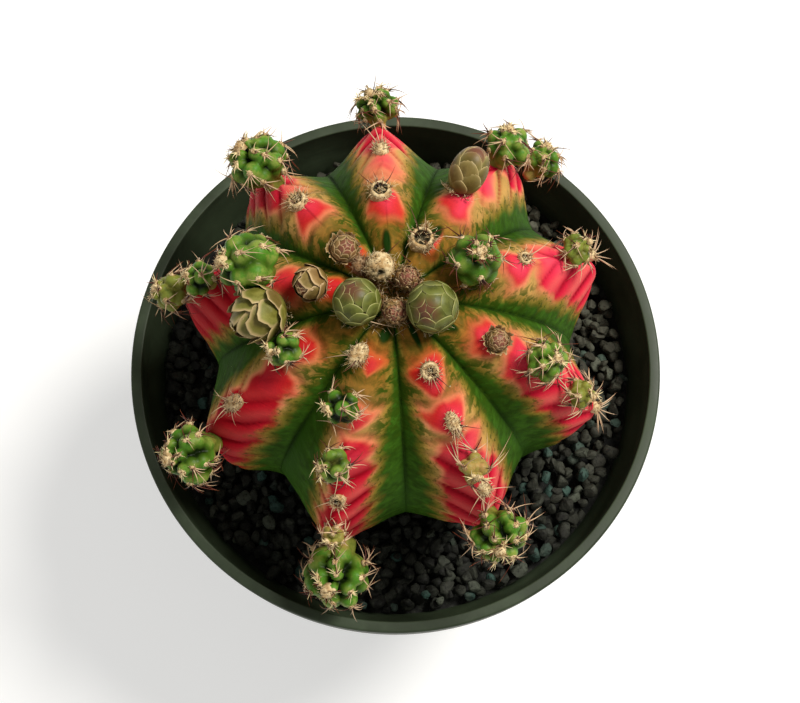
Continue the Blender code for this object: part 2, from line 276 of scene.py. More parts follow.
def ridge_profile(degrees):
    """(radius, z) of the ribs' envelope, by degrees from the crown."""
    angle = np.radians(degrees)
    drop = np.where(degrees <= 90, CROWN_RISE, LOWER_DROP)
    dip = CROWN_DIP * (1 - smoothstep(0, 16, degrees))
    return STEM_RADIUS * np.sin(angle), EQUATOR_Z + drop * np.cos(angle) - dip


def ridge_slope(degrees):
    """Unit vector along the envelope, away from the crown, as (outward, upward)."""
    before, after = ridge_profile(degrees - 0.5), ridge_profile(degrees + 0.5)
    along = np.array((after[0] - before[0], after[1] - before[1]))
    return along / np.hypot(*along)


ARC_STEPS = np.linspace(0, 150, 601)
ARC_PATH = np.array(ridge_profile(ARC_STEPS))
ARC_LENGTHS = np.concatenate(((0,), np.cumsum(np.hypot(*np.diff(ARC_PATH, axis=1)))))


def arc_mm(degrees):
    """Distance from the crown along a ridge, in mm."""
    return np.interp(degrees, ARC_STEPS, ARC_LENGTHS) / MM


def degrees_at(z):
    """Degrees from the crown at which the lower half of the envelope reaches a height."""
    return math.degrees(math.acos((z - EQUATOR_Z) / LOWER_DROP))


def half_angle(rib, side):
    """Degrees from a ridge to the valley beside it."""
    following = (rib + side) % RIB_COUNT
    gap = (RIBS[following] - RIBS[rib]) * side
    return (gap % 360) / 2


def valley_inset(degrees, share):
    """How far the surface lies under the ribs' envelope."""
    rounded = share**2.2
    soft = np.sqrt(share**2 + 0.05**2) - 0.05
    keeled = 1 - (1 - np.clip(soft, 0, 1)) ** 1.5
    mix = smoothstep(20, 75, degrees)
    depth = VALLEY_DEPTH * np.sin(np.radians(np.minimum(degrees, 90))) ** 0.8
    depth = depth * (1 - 0.45 * smoothstep(90, 135, degrees))
    return depth * ((1 - mix) * rounded + mix * keeled)


class Growth:
    """Where a CAD growth stands on the stem: its foot, its own axes and its size."""

    def __init__(self, node, lean=0.0):
        points = np.array([v.co[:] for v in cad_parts[node].data.vertices])
        centre = points.mean(axis=0)
        out = centre[:2] - AXIS
        turned = math.atan2(out[1], out[0])
        azimuth = math.degrees(turned) % 360
        place = np.array((math.hypot(*out), centre[2]))
        steps = np.arange(0.5, 125, 0.25)
        feet = np.array(ridge_profile(steps))
        along = np.array([ridge_slope(d) for d in steps]).T
        tilt = math.radians(lean)
        up = np.array((-along[1], along[0])) * math.cos(tilt) + along * math.sin(tilt)
        to_centre = place[:, None] - feet
        off_line = np.abs(to_centre[0] * up[1] - to_centre[1] * up[0])
        off_line[(to_centre * up).sum(axis=0) < 0] = 1
        best = int(np.argmin(off_line))
        self.degrees = float(steps[best])
        outward = level_way(turned)
        self.up = outward * up[0, best] + UP * up[1, best]
        self.across = UP.cross(outward)
        self.along = self.across.cross(self.up)
        self.foot = outward * feet[0, best] + Vector((AXIS[0], AXIS[1], feet[1, best]))
        self.frame = axes_at(self.foot, self.along, self.across, self.up)
        local = [self.frame.inverted() @ Vector(p) for p in points]
        self.length = max(p.z for p in local)
        self.width = 2 * max(math.hypot(p.x, p.y) for p in local)
        gaps = (azimuth - RIBS + 180) % 360 - 180
        self.rib = int(np.argmin(np.abs(gaps)))
        self.side_mm = math.radians(gaps[self.rib]) * ridge_profile(self.degrees)[0] / MM


def axes_at(foot, x, y, z):
    """The matrix of axes that stand at a foot, from the ways of the three."""
    return Matrix.Translation(foot) @ Matrix((x, y, z)).transposed().to_4x4()


def tuft_frame(foot, up, along):
    """Axes at a foot, with Z up and X as near as can be to a given way."""
    across = up.cross(along).normalized()
    return axes_at(foot, across.cross(up).normalized(), across, up)


def facing_turn(growth, facing):
    """The turn from a growth's own axis to a way that it faces, in the growth's frame."""
    way = UP
    if facing:
        way = (growth.frame.to_3x3().inverted() @ Vector(facing)).normalized()
    return UP.rotation_difference(way).to_matrix()


def nodes_named(start):
    return sorted(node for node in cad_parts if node.startswith(start))


OFFSET_NODES, BUD_NODES, AREOLE_NODES = (nodes_named(start) for start in ("offset_", "bud_", "areole_"))
OFFSET_LEAN, LEANS_ABOVE = 12, 62  # degrees: offsets nearer to the crown lean away from it
WOOLLY_BUD = "bud_crown_woolly"
BUD_LEANS = {"bud_rib2": 30, "bud_rib5_open": 20}  # degrees


def find_growths():
    found = {node: Growth(node, BUD_LEANS.get(node, 0)) for node in BUD_NODES + AREOLE_NODES}
    for node in OFFSET_NODES:
        upright = Growth(node)
        found[node] = Growth(node, OFFSET_LEAN) if upright.degrees < LEANS_ABOVE else upright
    return found


# ---- spines and wool ----------------------------------------------------------------------

CREAM, PALE, MIXED, DARK = -0.6, 0.1, 0.5, 0.95  # shades of spines
# Widths of a strand's rings of points, from its foot to just under its tip, beside its radius
SPINE_WIDTHS = [1.3] + [(1 - i / 5) ** 0.8 for i in range(1, 5)]
FIBRE_WIDTHS = (1.0, 0.7)
SPINE_SIDES, FIBRE_SIDES = 4, 3
SPINE_FACES = turned_over(grid_faces(len(SPINE_WIDTHS), SPINE_SIDES))
FIBRE_FACES = ((0, 2, 1), (0, 1, 4, 3), (3, 4, 6), (1, 2, 5, 4), (4, 5, 6), (2, 0, 3, 5), (5, 3, 6))
CUSHION_GRID = (7, 16)  # rings, points on each


def strand_rings(foot, way, length, radius, curl, widths, sides):
    """Rings of points along a curved strand, each point's share of its length, and its tip."""
    side = way.orthogonal().normalized()
    over = way.cross(side)
    points, along = [], []
    for i, wide in enumerate(widths):
        share = i / len(widths)
        middle = foot + way * length * share + curl * length * share**2
        for j in range(sides):
            turn = TAU * j / sides
            points.append(middle + (side * math.cos(turn) + over * math.sin(turn)) * radius * wide)
            along.append(share)
    return points, along, foot + way * length + curl * length


def add_spine(shape, foot, way, length, radius, curl, shade):
    """A tapered, curved spine. The curl is a vector that its tip bends towards."""
    way = way.normalized()
    strand = (foot, way, length, radius, curl, SPINE_WIDTHS, SPINE_SIDES)
    points, along, tip = strand_rings(*strand)
    points += [foot - way * radius, tip]
    shape.add(points, SPINE_FACES, along=along + [0.0, 1.0], shade=shade, spine=1.0)


def add_fibre(shape, foot, way, length, radius, curl, shade):
    """One strand of wool: thin, three-sided and tapered."""
    strand = (foot, way.normalized(), length, radius, curl, FIBRE_WIDTHS, FIBRE_SIDES)
    points, along, tip = strand_rings(*strand)
    shape.add(points + [tip], FIBRE_FACES, along=along + [1.0], shade=shade, spine=0.0)


def add_cushion(shape, seat, radius, stretch, height, rng, fibres, hollow=0.0, shade=0.0):
    """A felted cushion: a bumpy dome under a cover of fibres. A hollow one is a ring."""
    rows, columns = CUSHION_GRID
    salt = rng.uniform(0, 50)
    points, along = [], []
    for i in range(1, rows + 1):
        share = i / rows
        lift = 0.25 + 0.6 * bell(share - 0.72, 0.2) if hollow else math.sqrt(1 - share * share)
        lift = -0.8 if i == rows else lift
        inside = smoothstep(hollow, hollow + 0.15, share) if hollow else 1.0
        for j in range(columns):
            turn = TAU * j / columns
            x, y = share * math.cos(turn), share * math.sin(turn)
            rough = 0.35 * noise.noise(Vector((x * 3.5, y * 3.5, salt)))
            points.append(seat @ Vector((x * radius * stretch, y * radius, (lift + rough) * height)))
            # Gaps in the felt, its lower bumps and a hollow's middle get a low along, which the wool's
            # colour turns dark: painted shade
            gap = noise.noise(Vector((x * 5.5, y * 5.5, salt + 9))) > 0.22
            along.append(inside * (0.35 if gap else 1.0) * (0.55 + 0.4 * rough))
    points += [seat @ Vector((0, 0, height * (0.25 if hollow else 1))), seat @ Vector((0, 0, -height))]
    along += [0.0 if hollow else 0.4, 0.3]
    shape.add(points, grid_faces(rows, columns), along=along, shade=shade, spine=0.0)
    for _ in range(fibres):
        out = rng.uniform(hollow, 1.0) if hollow else math.sqrt(rng.random())
        flat = level_way(rng.uniform(0, TAU)) * out
        lift = height * math.sqrt(max(0.05, 1 - out * out)) * (0.75 if hollow else 0.8)
        lean = flat + UP * 0.6 + random_unit(rng) * 0.75
        foot = seat @ Vector((flat.x * radius * stretch, flat.y * radius, lift))
        long = radius * rng.uniform(0.3, 0.9)
        thick = rng.uniform(0.05, 0.11) * MM
        tint = shade + rng.choice((0.0, 0.0, 0.1, 0.7))
        add_fibre(shape, foot, seat.to_3x3() @ lean, long, thick, random_unit(rng) * 0.5, tint)


def wool_shape():
    """A shape for strands and cushions: place along a strand, shade, and 1 on a spine. On a cushion, a low
    along stands for painted shade.
    """
    return Shape("along", "shade", "spine")


# ---- materials ----------------------------------------------------------------------------


def skin_material():
    """The stem's skin: red patches and salmon ribs that break up into green valleys, with painted light
    and shade on its flanks, pleats and valleys.
    """
    p = Paint("cactus_skin")
    flow, place = p.vector("flow"), p.place()
    streaks = p.noise(p.stretch(flow, (0.10, 0.34, 1.0)), 1.0, 3, 0.5, 0.4)
    blotches = p.noise(flow, 0.45, 6, 0.62, 0.3)
    mottles = p.noise(flow, 0.55, 6, 0.6, 0.6)
    grain = p.noise(place, 2600, 3, 0.6)
    verdure, blush, reach, painted_sunlight = p.numbers("verdure", "blush", "reach", "painted_sunlight")
    torn = p.step(reach, 36, 56, 1.0, 0.5)  # the edges are softer further down
    for pattern, to_verdure, to_blush in ((streaks, 0.22, 0.16), (blotches, 0.42, 0.24)):
        swing = p.centred(pattern, torn)
        verdure = p.plus(verdure, p.times(swing, to_verdure))
        blush = p.plus(blush, p.times(swing, to_blush))

    ochre = p.fade(blotches, 0.38, 0.62, "#5C4C18", "#845E24")
    ochre = p.fade(reach, 20, 40, ochre, "#B08A4E")
    salmon = p.fade(reach, 14, 36, "#B05A28", "#D0805A")
    # Painted light and shade: the red is a lit pink on flanks that face the sunny side, and a deeper red
    # as shade on the others
    deep = p.fade(reach, 24, 50, "#AE1C10", "#900A0A")
    pink = p.fade(reach, 24, 50, "#B62C26", "#C6183A")
    warm = p.fade(blush, 0.12, 0.48, ochre, salmon)
    warm = p.fade(blush, 0.40, 0.90, warm, p.blend(painted_sunlight, deep, pink))
    # Painted highlight: pink on the tops of the pleats over the red, stronger on the sunny side
    painted_highlight = p.times(p.number("painted_crest_highlight"), p.step(blush, 0.35, 0.8, 0.0, 0.60))
    painted_highlight = p.times(painted_highlight, p.step(painted_sunlight, 0.0, 0.8, 0.14, 1.0))
    warm = p.blend(painted_highlight, warm, "#E06C62")
    # Pink in the patches' points: partly the skin's own pink, partly a painted highlight, stronger on the
    # sunny side
    warm = p.blend(p.times(p.number("pink_and_painted_highlight"), painted_sunlight), warm, "#D8405A")
    # Painted shade: dark crimson in the creases where pleats meet and at the red patches' upper edges
    warm = p.blend(p.number("painted_fold_shade"), warm, "#7E0412")
    olive = p.fade(blotches, 0.4, 0.62, "#5C561A", "#86702E")
    green = p.fade(blotches, 0.35, 0.7, "#263F0C", "#365A16")
    green = p.fade(verdure, 0.15, 0.5, green, "#2A4A12")
    colour = p.fade(verdure, -0.30, -0.04, warm, olive)
    colour = p.fade(verdure, -0.10, 0.08, colour, green)
    colour = p.blend(p.number("streak"), colour, "#142C08")
    # Painted shade: near-black green along the bottoms of the valleys, mostly near the crown
    colour = p.blend(p.number("painted_groove_shade"), colour, "#0E1C05")
    flecks = p.step(p.noise(p.stretch(flow, (1.1, 0.8, 1.0)), 1.0, 4, 0.65), 0.52, 0.62)
    near_edge = p.times(p.step(verdure, -0.34, -0.14, 0.0, 0.7), p.step(verdure, 0.12, -0.02))
    colour = p.blend(p.times(flecks, near_edge), colour, "#2E3E0E")
    spots = p.times(p.step(mottles, 0.46, 0.56), p.number("mottle"))
    colour = p.blend(spots, colour, "#2C440C")
    colour = p.blend(p.step(grain, 0.35, 0.75, 0.0, 0.14), colour, "#FFE9C0", "OVERLAY")
    specks = p.step(p.cells(place, 420), 0.055, 0.03)
    rare = p.step(p.cells(place, 420, "Color"), 0.80, 0.84)
    colour = p.blend(p.times(specks, rare), colour, "#C9CDB4")

    height = p.plus(p.times(grain, 0.5), p.times(p.cells(place, 3200), 0.5))
    normal = p.bump(height, 0.35, 0.08 * MM)
    normal = p.bump(blotches, 0.5, 0.12 * MM, normal)
    normal = p.bump(streaks, 0.6, 0.5 * MM, normal)
    roughness = p.step(grain, 0.3, 0.7, 0.48, 0.60)
    return p.finish(colour, roughness, normal, Specular_IOR_Level=0.02)


def offset_material():
    """An offset's flesh, painted darker between its lobes as shade, and pale at its foot and growing
    point.
    """
    p = Paint("offset_skin")
    place = p.place()
    blotches = p.noise(place, 420, 5, 0.6)
    grain = p.noise(place, 2600, 3, 0.6)
    swing = p.centred(blotches, 0.5)
    knob = p.plus(p.number("knob"), swing)
    pale = p.plus(p.number("pale"), swing)
    # Painted shade: dark green where knob is low, between the lobes
    green = p.fade(knob, 0.10, 0.6, "#0E1A04", "#34500E")
    green = p.fade(knob, 0.5, 1.0, green, p.fade(blotches, 0.40, 0.58, "#76883A", "#467420"))
    colour = p.fade(pale, 0.35, 0.75, green, "#7A7A34")
    colour = p.fade(pale, 0.7, 1.1, colour, "#B4845A")
    colour = p.blend(p.step(grain, 0.35, 0.75, 0.0, 0.2), colour, "#FFF0C8", "OVERLAY")
    normal = p.bump(grain, 0.4, 0.08 * MM)
    normal = p.bump(blotches, 0.6, 0.2 * MM, normal)
    return p.finish(colour, 0.42, normal, Specular_IOR_Level=0.12)


def bud_material():
    """A bud's scales: green, fresh or tan, browner at the bud's crown and paler at each edge, and painted
    dark on their inner sides and on the core between them, as shade.
    """
    p = Paint("bud_scale_skin")
    place = p.place()
    blotches = p.noise(place, 500, 5, 0.6)
    grain = p.noise(place, 2400, 3, 0.6)
    tan, margin = p.numbers("tan", "margin")
    body = p.fade(blotches, 0.35, 0.7, "#414612", "#5A5E22")
    body = p.blend(p.number("fresh"), body, p.fade(blotches, 0.35, 0.7, "#5E5E1A", "#82803A"))
    body = p.blend(tan, body, p.fade(blotches, 0.35, 0.7, "#7C5834", "#946C44"))
    body = p.blend(p.step(margin, 0.25, 0.95, 0.0, 0.5), body, p.blend(tan, "#747A3C", "#A8845A"))
    brown = p.plus(p.number("brown"), p.centred(blotches, 0.4))
    body = p.fade(brown, 0.30, 0.95, body, p.blend(tan, "#5E3A28", "#7E4A3A"))
    edge = p.plus(margin, p.centred(grain, 0.05))
    colour = p.blend(p.step(edge, 0.88, 0.98, 0.0, 0.75), body, p.blend(tan, "#A4A064", "#BC9A6C"))
    dry = p.times(p.number("dry"), p.step(edge, 0.66, 0.98, 0.0, 0.85))
    colour = p.blend(dry, colour, "#C6A87E")
    # Painted shade: the inner sides of the scales and the core between them are darkened
    colour = p.blend(p.number("under"), colour, "#221A0A")
    normal = p.bump(grain, 0.35, 0.06 * MM)
    normal = p.bump(blotches, 0.4, 0.12 * MM, normal)
    return p.finish(colour, 0.45, normal, Specular_IOR_Level=0.25)


def trim_material():
    """Wool and spines, told apart by an attribute."""
    p = Paint("wool_and_spines")
    place = p.place()
    patches = p.noise(place, 900, 4, 0.6)
    along, shade, spine = p.numbers("along", "shade", "spine")
    wool = p.fade(patches, 0.35, 0.65, "#A68556", "#D6C094")
    wool = p.fade(along, 0.5, 1.0, wool, "#F0E2BE")
    # Painted shade: wool goes dark where along is low, at the roots of fibres and in the gaps, lower bumps
    # and hollows of cushions
    wool = p.fade(along, 0.3, 0.0, wool, "#2C2610")
    wool = p.fade(shade, 0.3, 1.0, wool, "#6A3F26")
    pale = p.fade(along, 0.0, 0.3, "#6A3A20", "#C8A986")
    pale = p.fade(along, 0.7, 1.0, pale, "#8E5A40")
    dark = p.fade(along, 0.0, 0.5, "#1E0C06", "#5A2616")
    dark = p.fade(along, 0.6, 1.0, dark, "#8F4F2C")
    cream = p.fade(along, 0.0, 0.25, "#A0763E", "#E2CE9C")
    pale = p.fade(shade, -0.5, -0.1, cream, pale)
    horn = p.fade(shade, 0.25, 0.75, pale, dark)
    roughness = p.blend(spine, (0.9, 0.9, 0.9, 1), (0.42, 0.42, 0.42, 1))
    fuzz = p.bump(p.noise(place, 3000, 2, 0.6), 0.4, 0.05 * MM)
    return p.finish(p.blend(spine, wool, horn), roughness, fuzz, Specular_IOR_Level=0.3)


def pot_material():
    p = Paint("nursery_pot_plastic")
    place = p.place()
    grain = p.noise(place, 1500, 4, 0.6)
    dust = p.noise(place, 60, 6, 0.65)
    scratches = p.noise(p.stretch(place, (40.0, 40.0, 900.0)), 1.0, 3, 0.7)
    colour = p.fade(dust, 0.35, 0.75, "#2B3424", "#3A4632")
    wear = p.times(p.step(dust, 0.5, 0.8), p.step(scratches, 0.45, 0.7))
    colour = p.blend(wear, colour, "#414D3A")
    normal = p.bump(grain, 0.25, 0.06 * MM)
    normal = p.bump(scratches, 0.15, 0.05 * MM, normal)
    return p.finish(colour, p.step(dust, 0.3, 0.7, 0.42, 0.58), normal, Specular_IOR_Level=0.25)


def gravel_material():
    p = Paint("crushed_stone")
    place = p.place()
    tone, teal, dust = p.numbers("tone", "teal", "dust")
    pits = p.noise(place, 1300, 5, 0.65)
    blotches = p.noise(place, 350, 3, 0.6)
    colour = p.fade(tone, 0.0, 0.8, "#0B0C08", "#25271F")
    colour = p.fade(tone, 0.88, 1.0, colour, "#484E42")
    colour = p.fade(teal, 0.90, 0.97, colour, "#2E4A42")
    colour = p.blend(p.step(blotches, 0.45, 0.8, 0.0, 0.45), colour, "#52564A")
    # Painted light: grains on one side of the pot are painted a paler grey
    colour = p.blend(dust, colour, "#6E6C5A")
    # Painted shade: near black in the pits of each grain
    colour = p.fade(pits, 0.5, 0.3, colour, "#050503")
    return p.finish(colour, 0.75, p.bump(pits, 0.8, 0.3 * MM), Specular_IOR_Level=0.3)


def mix_material():
    p = Paint("gritty_mix")
    place = p.place()
    crumbs = p.cells(place, 700)
    fine = p.noise(place, 1500, 5, 0.7)
    colour = p.fade(fine, 0.35, 0.7, "#14100C", "#3A2E22")
    colour = p.fade(crumbs, 0.12, 0.02, colour, "#8A8070")
    return p.finish(colour, 0.95, p.bump(p.plus(crumbs, fine), 0.9, 0.6 * MM))


def root_material():
    p = Paint("corky_root")
    rings = p.noise(p.stretch(p.place(), (150.0, 150.0, 900.0)), 1.0, 4, 0.6)
    colour = p.fade(rings, 0.35, 0.7, "#5E4026", "#B08A5A")
    return p.finish(colour, 0.85, p.bump(rings, 0.7, 0.3 * MM))


def floor_material():
    p = Paint("pale_floor")
    colour = p.blend(p.noise(p.place(), 6, 3, 0.5), (0.60, 0.60, 0.59, 1), (0.63, 0.63, 0.62, 1))
    return p.finish(colour, 0.9, Emission_Color=(1, 1, 1, 1), Emission_Strength=0.48)


# ---- the stem -----------------------------------------------------------------------------

# Share of the way to the valley at which green takes over, by degrees from the crown
GREEN_STARTS = ((0, 12, 25, 40, 60, 90, 140), (0.86, 0.88, 0.84, 0.70, 0.64, 0.61, 0.5))
# Red patches round the areoles: rib (from 0), degrees at which the patch starts and comes to
# its point, shares of the way to the valleys on its - and + sides, and strength
RED_PATCHES = (
    (0, 31.0, 41.5, 0.62, 0.60, 1.0),
    (0, 42.0, 55, 0.68, 0.62, 0.85),
    (1, 15.0, 22, 0.60, 0.40, 0.9),
    (1, 28.0, 39.5, 0.46, 0.95, 1.0),
    (1, 40.0, 53, 0.45, 0.40, 0.8),
    (2, 21.5, 34, 0.85, 0.85, 1.0),
    (2, 33.0, 62, 0.66, 0.64, 0.42),
    (2, 37.5, 48, 0.60, 0.60, 0.66),
    (3, 12.0, 22, 0.75, 0.85, 0.95),
    (3, 29.5, 41, 0.72, 0.70, 1.0),
    (3, 42.0, 55, 0.50, 0.50, 0.7),
    (4, 12.0, 25, 0.70, 0.95, 1.0),
    (4, 24.0, 36, 0.70, 0.75, 0.9),
    (5, 22.8, 33, 0.80, 0.50, 1.0),
    (5, 33.0, 46, 0.36, 0.88, 1.0),
    (6, 14.5, 21, 0.55, 0.86, 0.8),
    (6, 28.5, 37, 0.20, 0.62, 0.85),
    (6, 37.8, 51, 0.30, 0.66, 1.0),
    (7, 17.3, 28.5, 0.95, 0.80, 1.0),
    (7, 29.4, 41, 0.90, 0.66, 1.0),
    (7, 40.5, 53, 0.52, 0.60, 0.95),
    (8, 22.6, 34, 0.84, 0.76, 1.0),
    (8, 33.6, 46, 0.72, 0.50, 1.0),
)
# Red further down: degrees at which it starts on a flank, and the share of the way to the
# valley that it reaches 15 and 45 degrees further down, for each rib's - and + sides
LOW_REDS = (
    ((40, 0.62, 0.70), (46, 0.45, 0.50)),
    ((56, 0.40, 0.55), (44, 0.42, 0.50)),
    ((46, 0.38, 0.50), (46, 0.36, 0.50)),
    ((46, 0.38, 0.52), (42, 0.48, 0.62)),
    ((44, 0.42, 0.52), (37, 0.74, 0.84)),
    ((38, 0.20, 0.08), (34, 0.66, 0.84)),
    ((42, 0.14, 0.14), (41, 0.54, 0.56)),
    ((40, 0.50, 0.50), (46, 0.46, 0.42)),
    ((36, 0.64, 0.64), (42, 0.44, 0.50)),
)
# Flanks on which green starts later or sooner, by rib and side
GREEN_SHIFTS = {(4, 1): 0.18, (5, 1): 0.10, (6, -1): -0.25, (5, -1): -0.20, (0, -1): 0.08}
# Flanks that stand fuller than the others, by rib and side: share by which the valley is
# shallower at their middle
FULL_FLANKS = {(5, 1): 0.60, (8, -1): 0.30}
SUNNY_AZIMUTH = 25.0  # degrees: flanks that face this way are painted a lit pink, the others a deeper red as painted shade
# Degrees by which a pleat reaches towards the crown in the valley, by degrees from the crown
CHEVRONS = ((35, 85), (15, 30))
# Degrees from the crown at which successive pleats start on the ridge
PLEATS = (12, 23, 33, 43, 53, 64, 77, 92, 108, 125, 143, 170)
# Dark green streaks on the ribs: rib (from 0), middle in mm from the crown, length, width, side
STREAKS = (
    (2, 11.0, 6.5, 1.7, 0.3),
    (7, 9.0, 6.5, 1.3, 0.4),
    (8, 12.5, 4.5, 1.8, -1.2),
    (6, 13.5, 5.5, 1.9, -3.6),
    (1, 15.5, 4.5, 2.4, 0.4),
    (3, 16.5, 3.5, 2.6, 0.0),
    (5, 9.0, 6.0, 3.4, 0.0),
    (6, 8.0, 4.0, 2.4, 1.0),
)
# Rings between the last row and the neck: share of that row's width, share of the way down
FOOT_RINGS = ((0.8, 0.35), (0.55, 0.75), (0.4, 1.0))


def flank_columns():
    """Azimuth, rib, side and share to the valley of each column of the stem's mesh."""
    columns = []
    for rib in range(RIB_COUNT):
        for side in (1, -1):
            home = rib if side == 1 else (rib + 1) % RIB_COUNT
            half = half_angle(home, side)
            for k in range(COLUMNS_PER_FLANK):
                even = k / COLUMNS_PER_FLANK if side == 1 else 1 - k / COLUMNS_PER_FLANK
                share = 0.5 * even + 0.25 * (1 - math.cos(math.pi * even))
                columns.append((RIBS[home] + side * half * share, home, side, share))
    return [np.array(values, dtype=float) for values in zip(*columns)]


def flank_number(rib, side, salt):
    """A number from 0 to 1 that each flank keeps."""
    return (np.sin(rib * 12.9898 + side * 78.233 + salt * 37.719) * 43758.5453) % 1.0


def red_fields(degrees, rib, side, share, place):
    """How red the skin is, the creases over the red patches, and the pink in their points, which is partly
    the skin's own pink and partly a painted highlight.
    """
    blush, creases, pink_and_painted_highlight = np.zeros((3,) + (degrees + share).shape)
    for where, start, point, low_side, high_side, strength in RED_PATCHES:
        here = (rib == where) * strength * smoothstep(5, 14, degrees)
        wide = np.where(side < 0, low_side, high_side)
        top = start + 2.6 * share**2
        fall = (degrees - top) / (point - start)
        spare = wide * (1 - np.clip(fall, 0, 1)) ** 1.15 - share
        core = smoothstep(-0.22, 0.15, spare) * (1 - 0.50 * np.clip(share / wide, 0, 1) ** 1.5)
        core = core * smoothstep(top - 2.2, top + 2.0, degrees)
        halo = 0.30 * smoothstep(-0.34, 0.0, spare) * smoothstep(top - 6, top, degrees)
        patch = np.maximum(core, halo) * smoothstep(1.3, 0.85, fall)
        edge = bell(degrees - top + 0.8, 1.5) * (1 - smoothstep(0.5, 0.9, share))
        blush = np.maximum(blush, here * patch)
        creases = np.maximum(creases, here * edge)
        pink_and_painted_highlight = np.maximum(pink_and_painted_highlight, here * core * bell(share, 0.30) * bell(fall - 0.45, 0.4))
    for where, flanks in enumerate(LOW_REDS):
        for which, (start, upper, lower) in zip((-1, 1), flanks):
            here = (rib == where) * (side == which) * smoothstep(start - 4, start + 6, degrees)
            stops = (start, start + 15, start + 45, 140)
            reach = np.interp(degrees, stops, (0.7 * upper, upper, lower, 0.45))
            spare = reach + 0.06 * (bell(place - 0.1, 0.3) - 0.4) - share
            area = np.maximum(smoothstep(-0.17, 0.14, spare), 0.26 * smoothstep(-0.28, 0.0, spare))
            blush = np.maximum(blush, here * area)
    return blush, creases, pink_and_painted_highlight


def streak_field(along, signed, rib):
    """Where the dark green streaks lie, from 0 to 1."""
    field = np.zeros_like(along)
    for where, middle, length, width, aside in STREAKS:
        oval = ((along - middle) / (length / 2)) ** 2 + ((signed - aside) / (width / 2)) ** 2
        field = np.maximum(field, (rib == where) * (1 - smoothstep(0.4, 1.5, oval)))
    return field


def bump_field(along, signed, rib, growths):
    """Where the ribs swell under growths, except the crown's buds and the lowest, from 0 to 1."""
    field = np.zeros_like(along)
    for node, growth in growths.items():
        if node.startswith("bud_crown") or growth.degrees > 100:
            continue
        size = 1.0 + 0.05 * min(growth.width / MM, 10)
        off = bell(along - arc_mm(growth.degrees), 3.6 * size)
        field = np.maximum(field, (rib == growth.rib) * off * bell(signed - growth.side_mm, 3.4 * size))
    return field


def wobble_field(along, signed, rib, side):
    """Waves of two lengths, which differ between flanks."""
    field = np.zeros_like(along)
    shift = rib * 3.7 + side * 1.9
    for octave, size in enumerate((7.0, 3.2), 1):
        field += np.sin(along / size + 2.3 * np.sin(signed / size + shift) + shift * octave) / octave
    return field


def green_start(degrees, rib, side):
    """Share of the way to the valley at which green takes over on each flank."""
    start = np.interp(degrees, *GREEN_STARTS) + 0.10 * (flank_number(rib, side, 4) - 0.5)
    for (where, which), shift in GREEN_SHIFTS.items():
        start = start + shift * (rib == where) * (side == which) * smoothstep(24, 50, degrees)
    return start


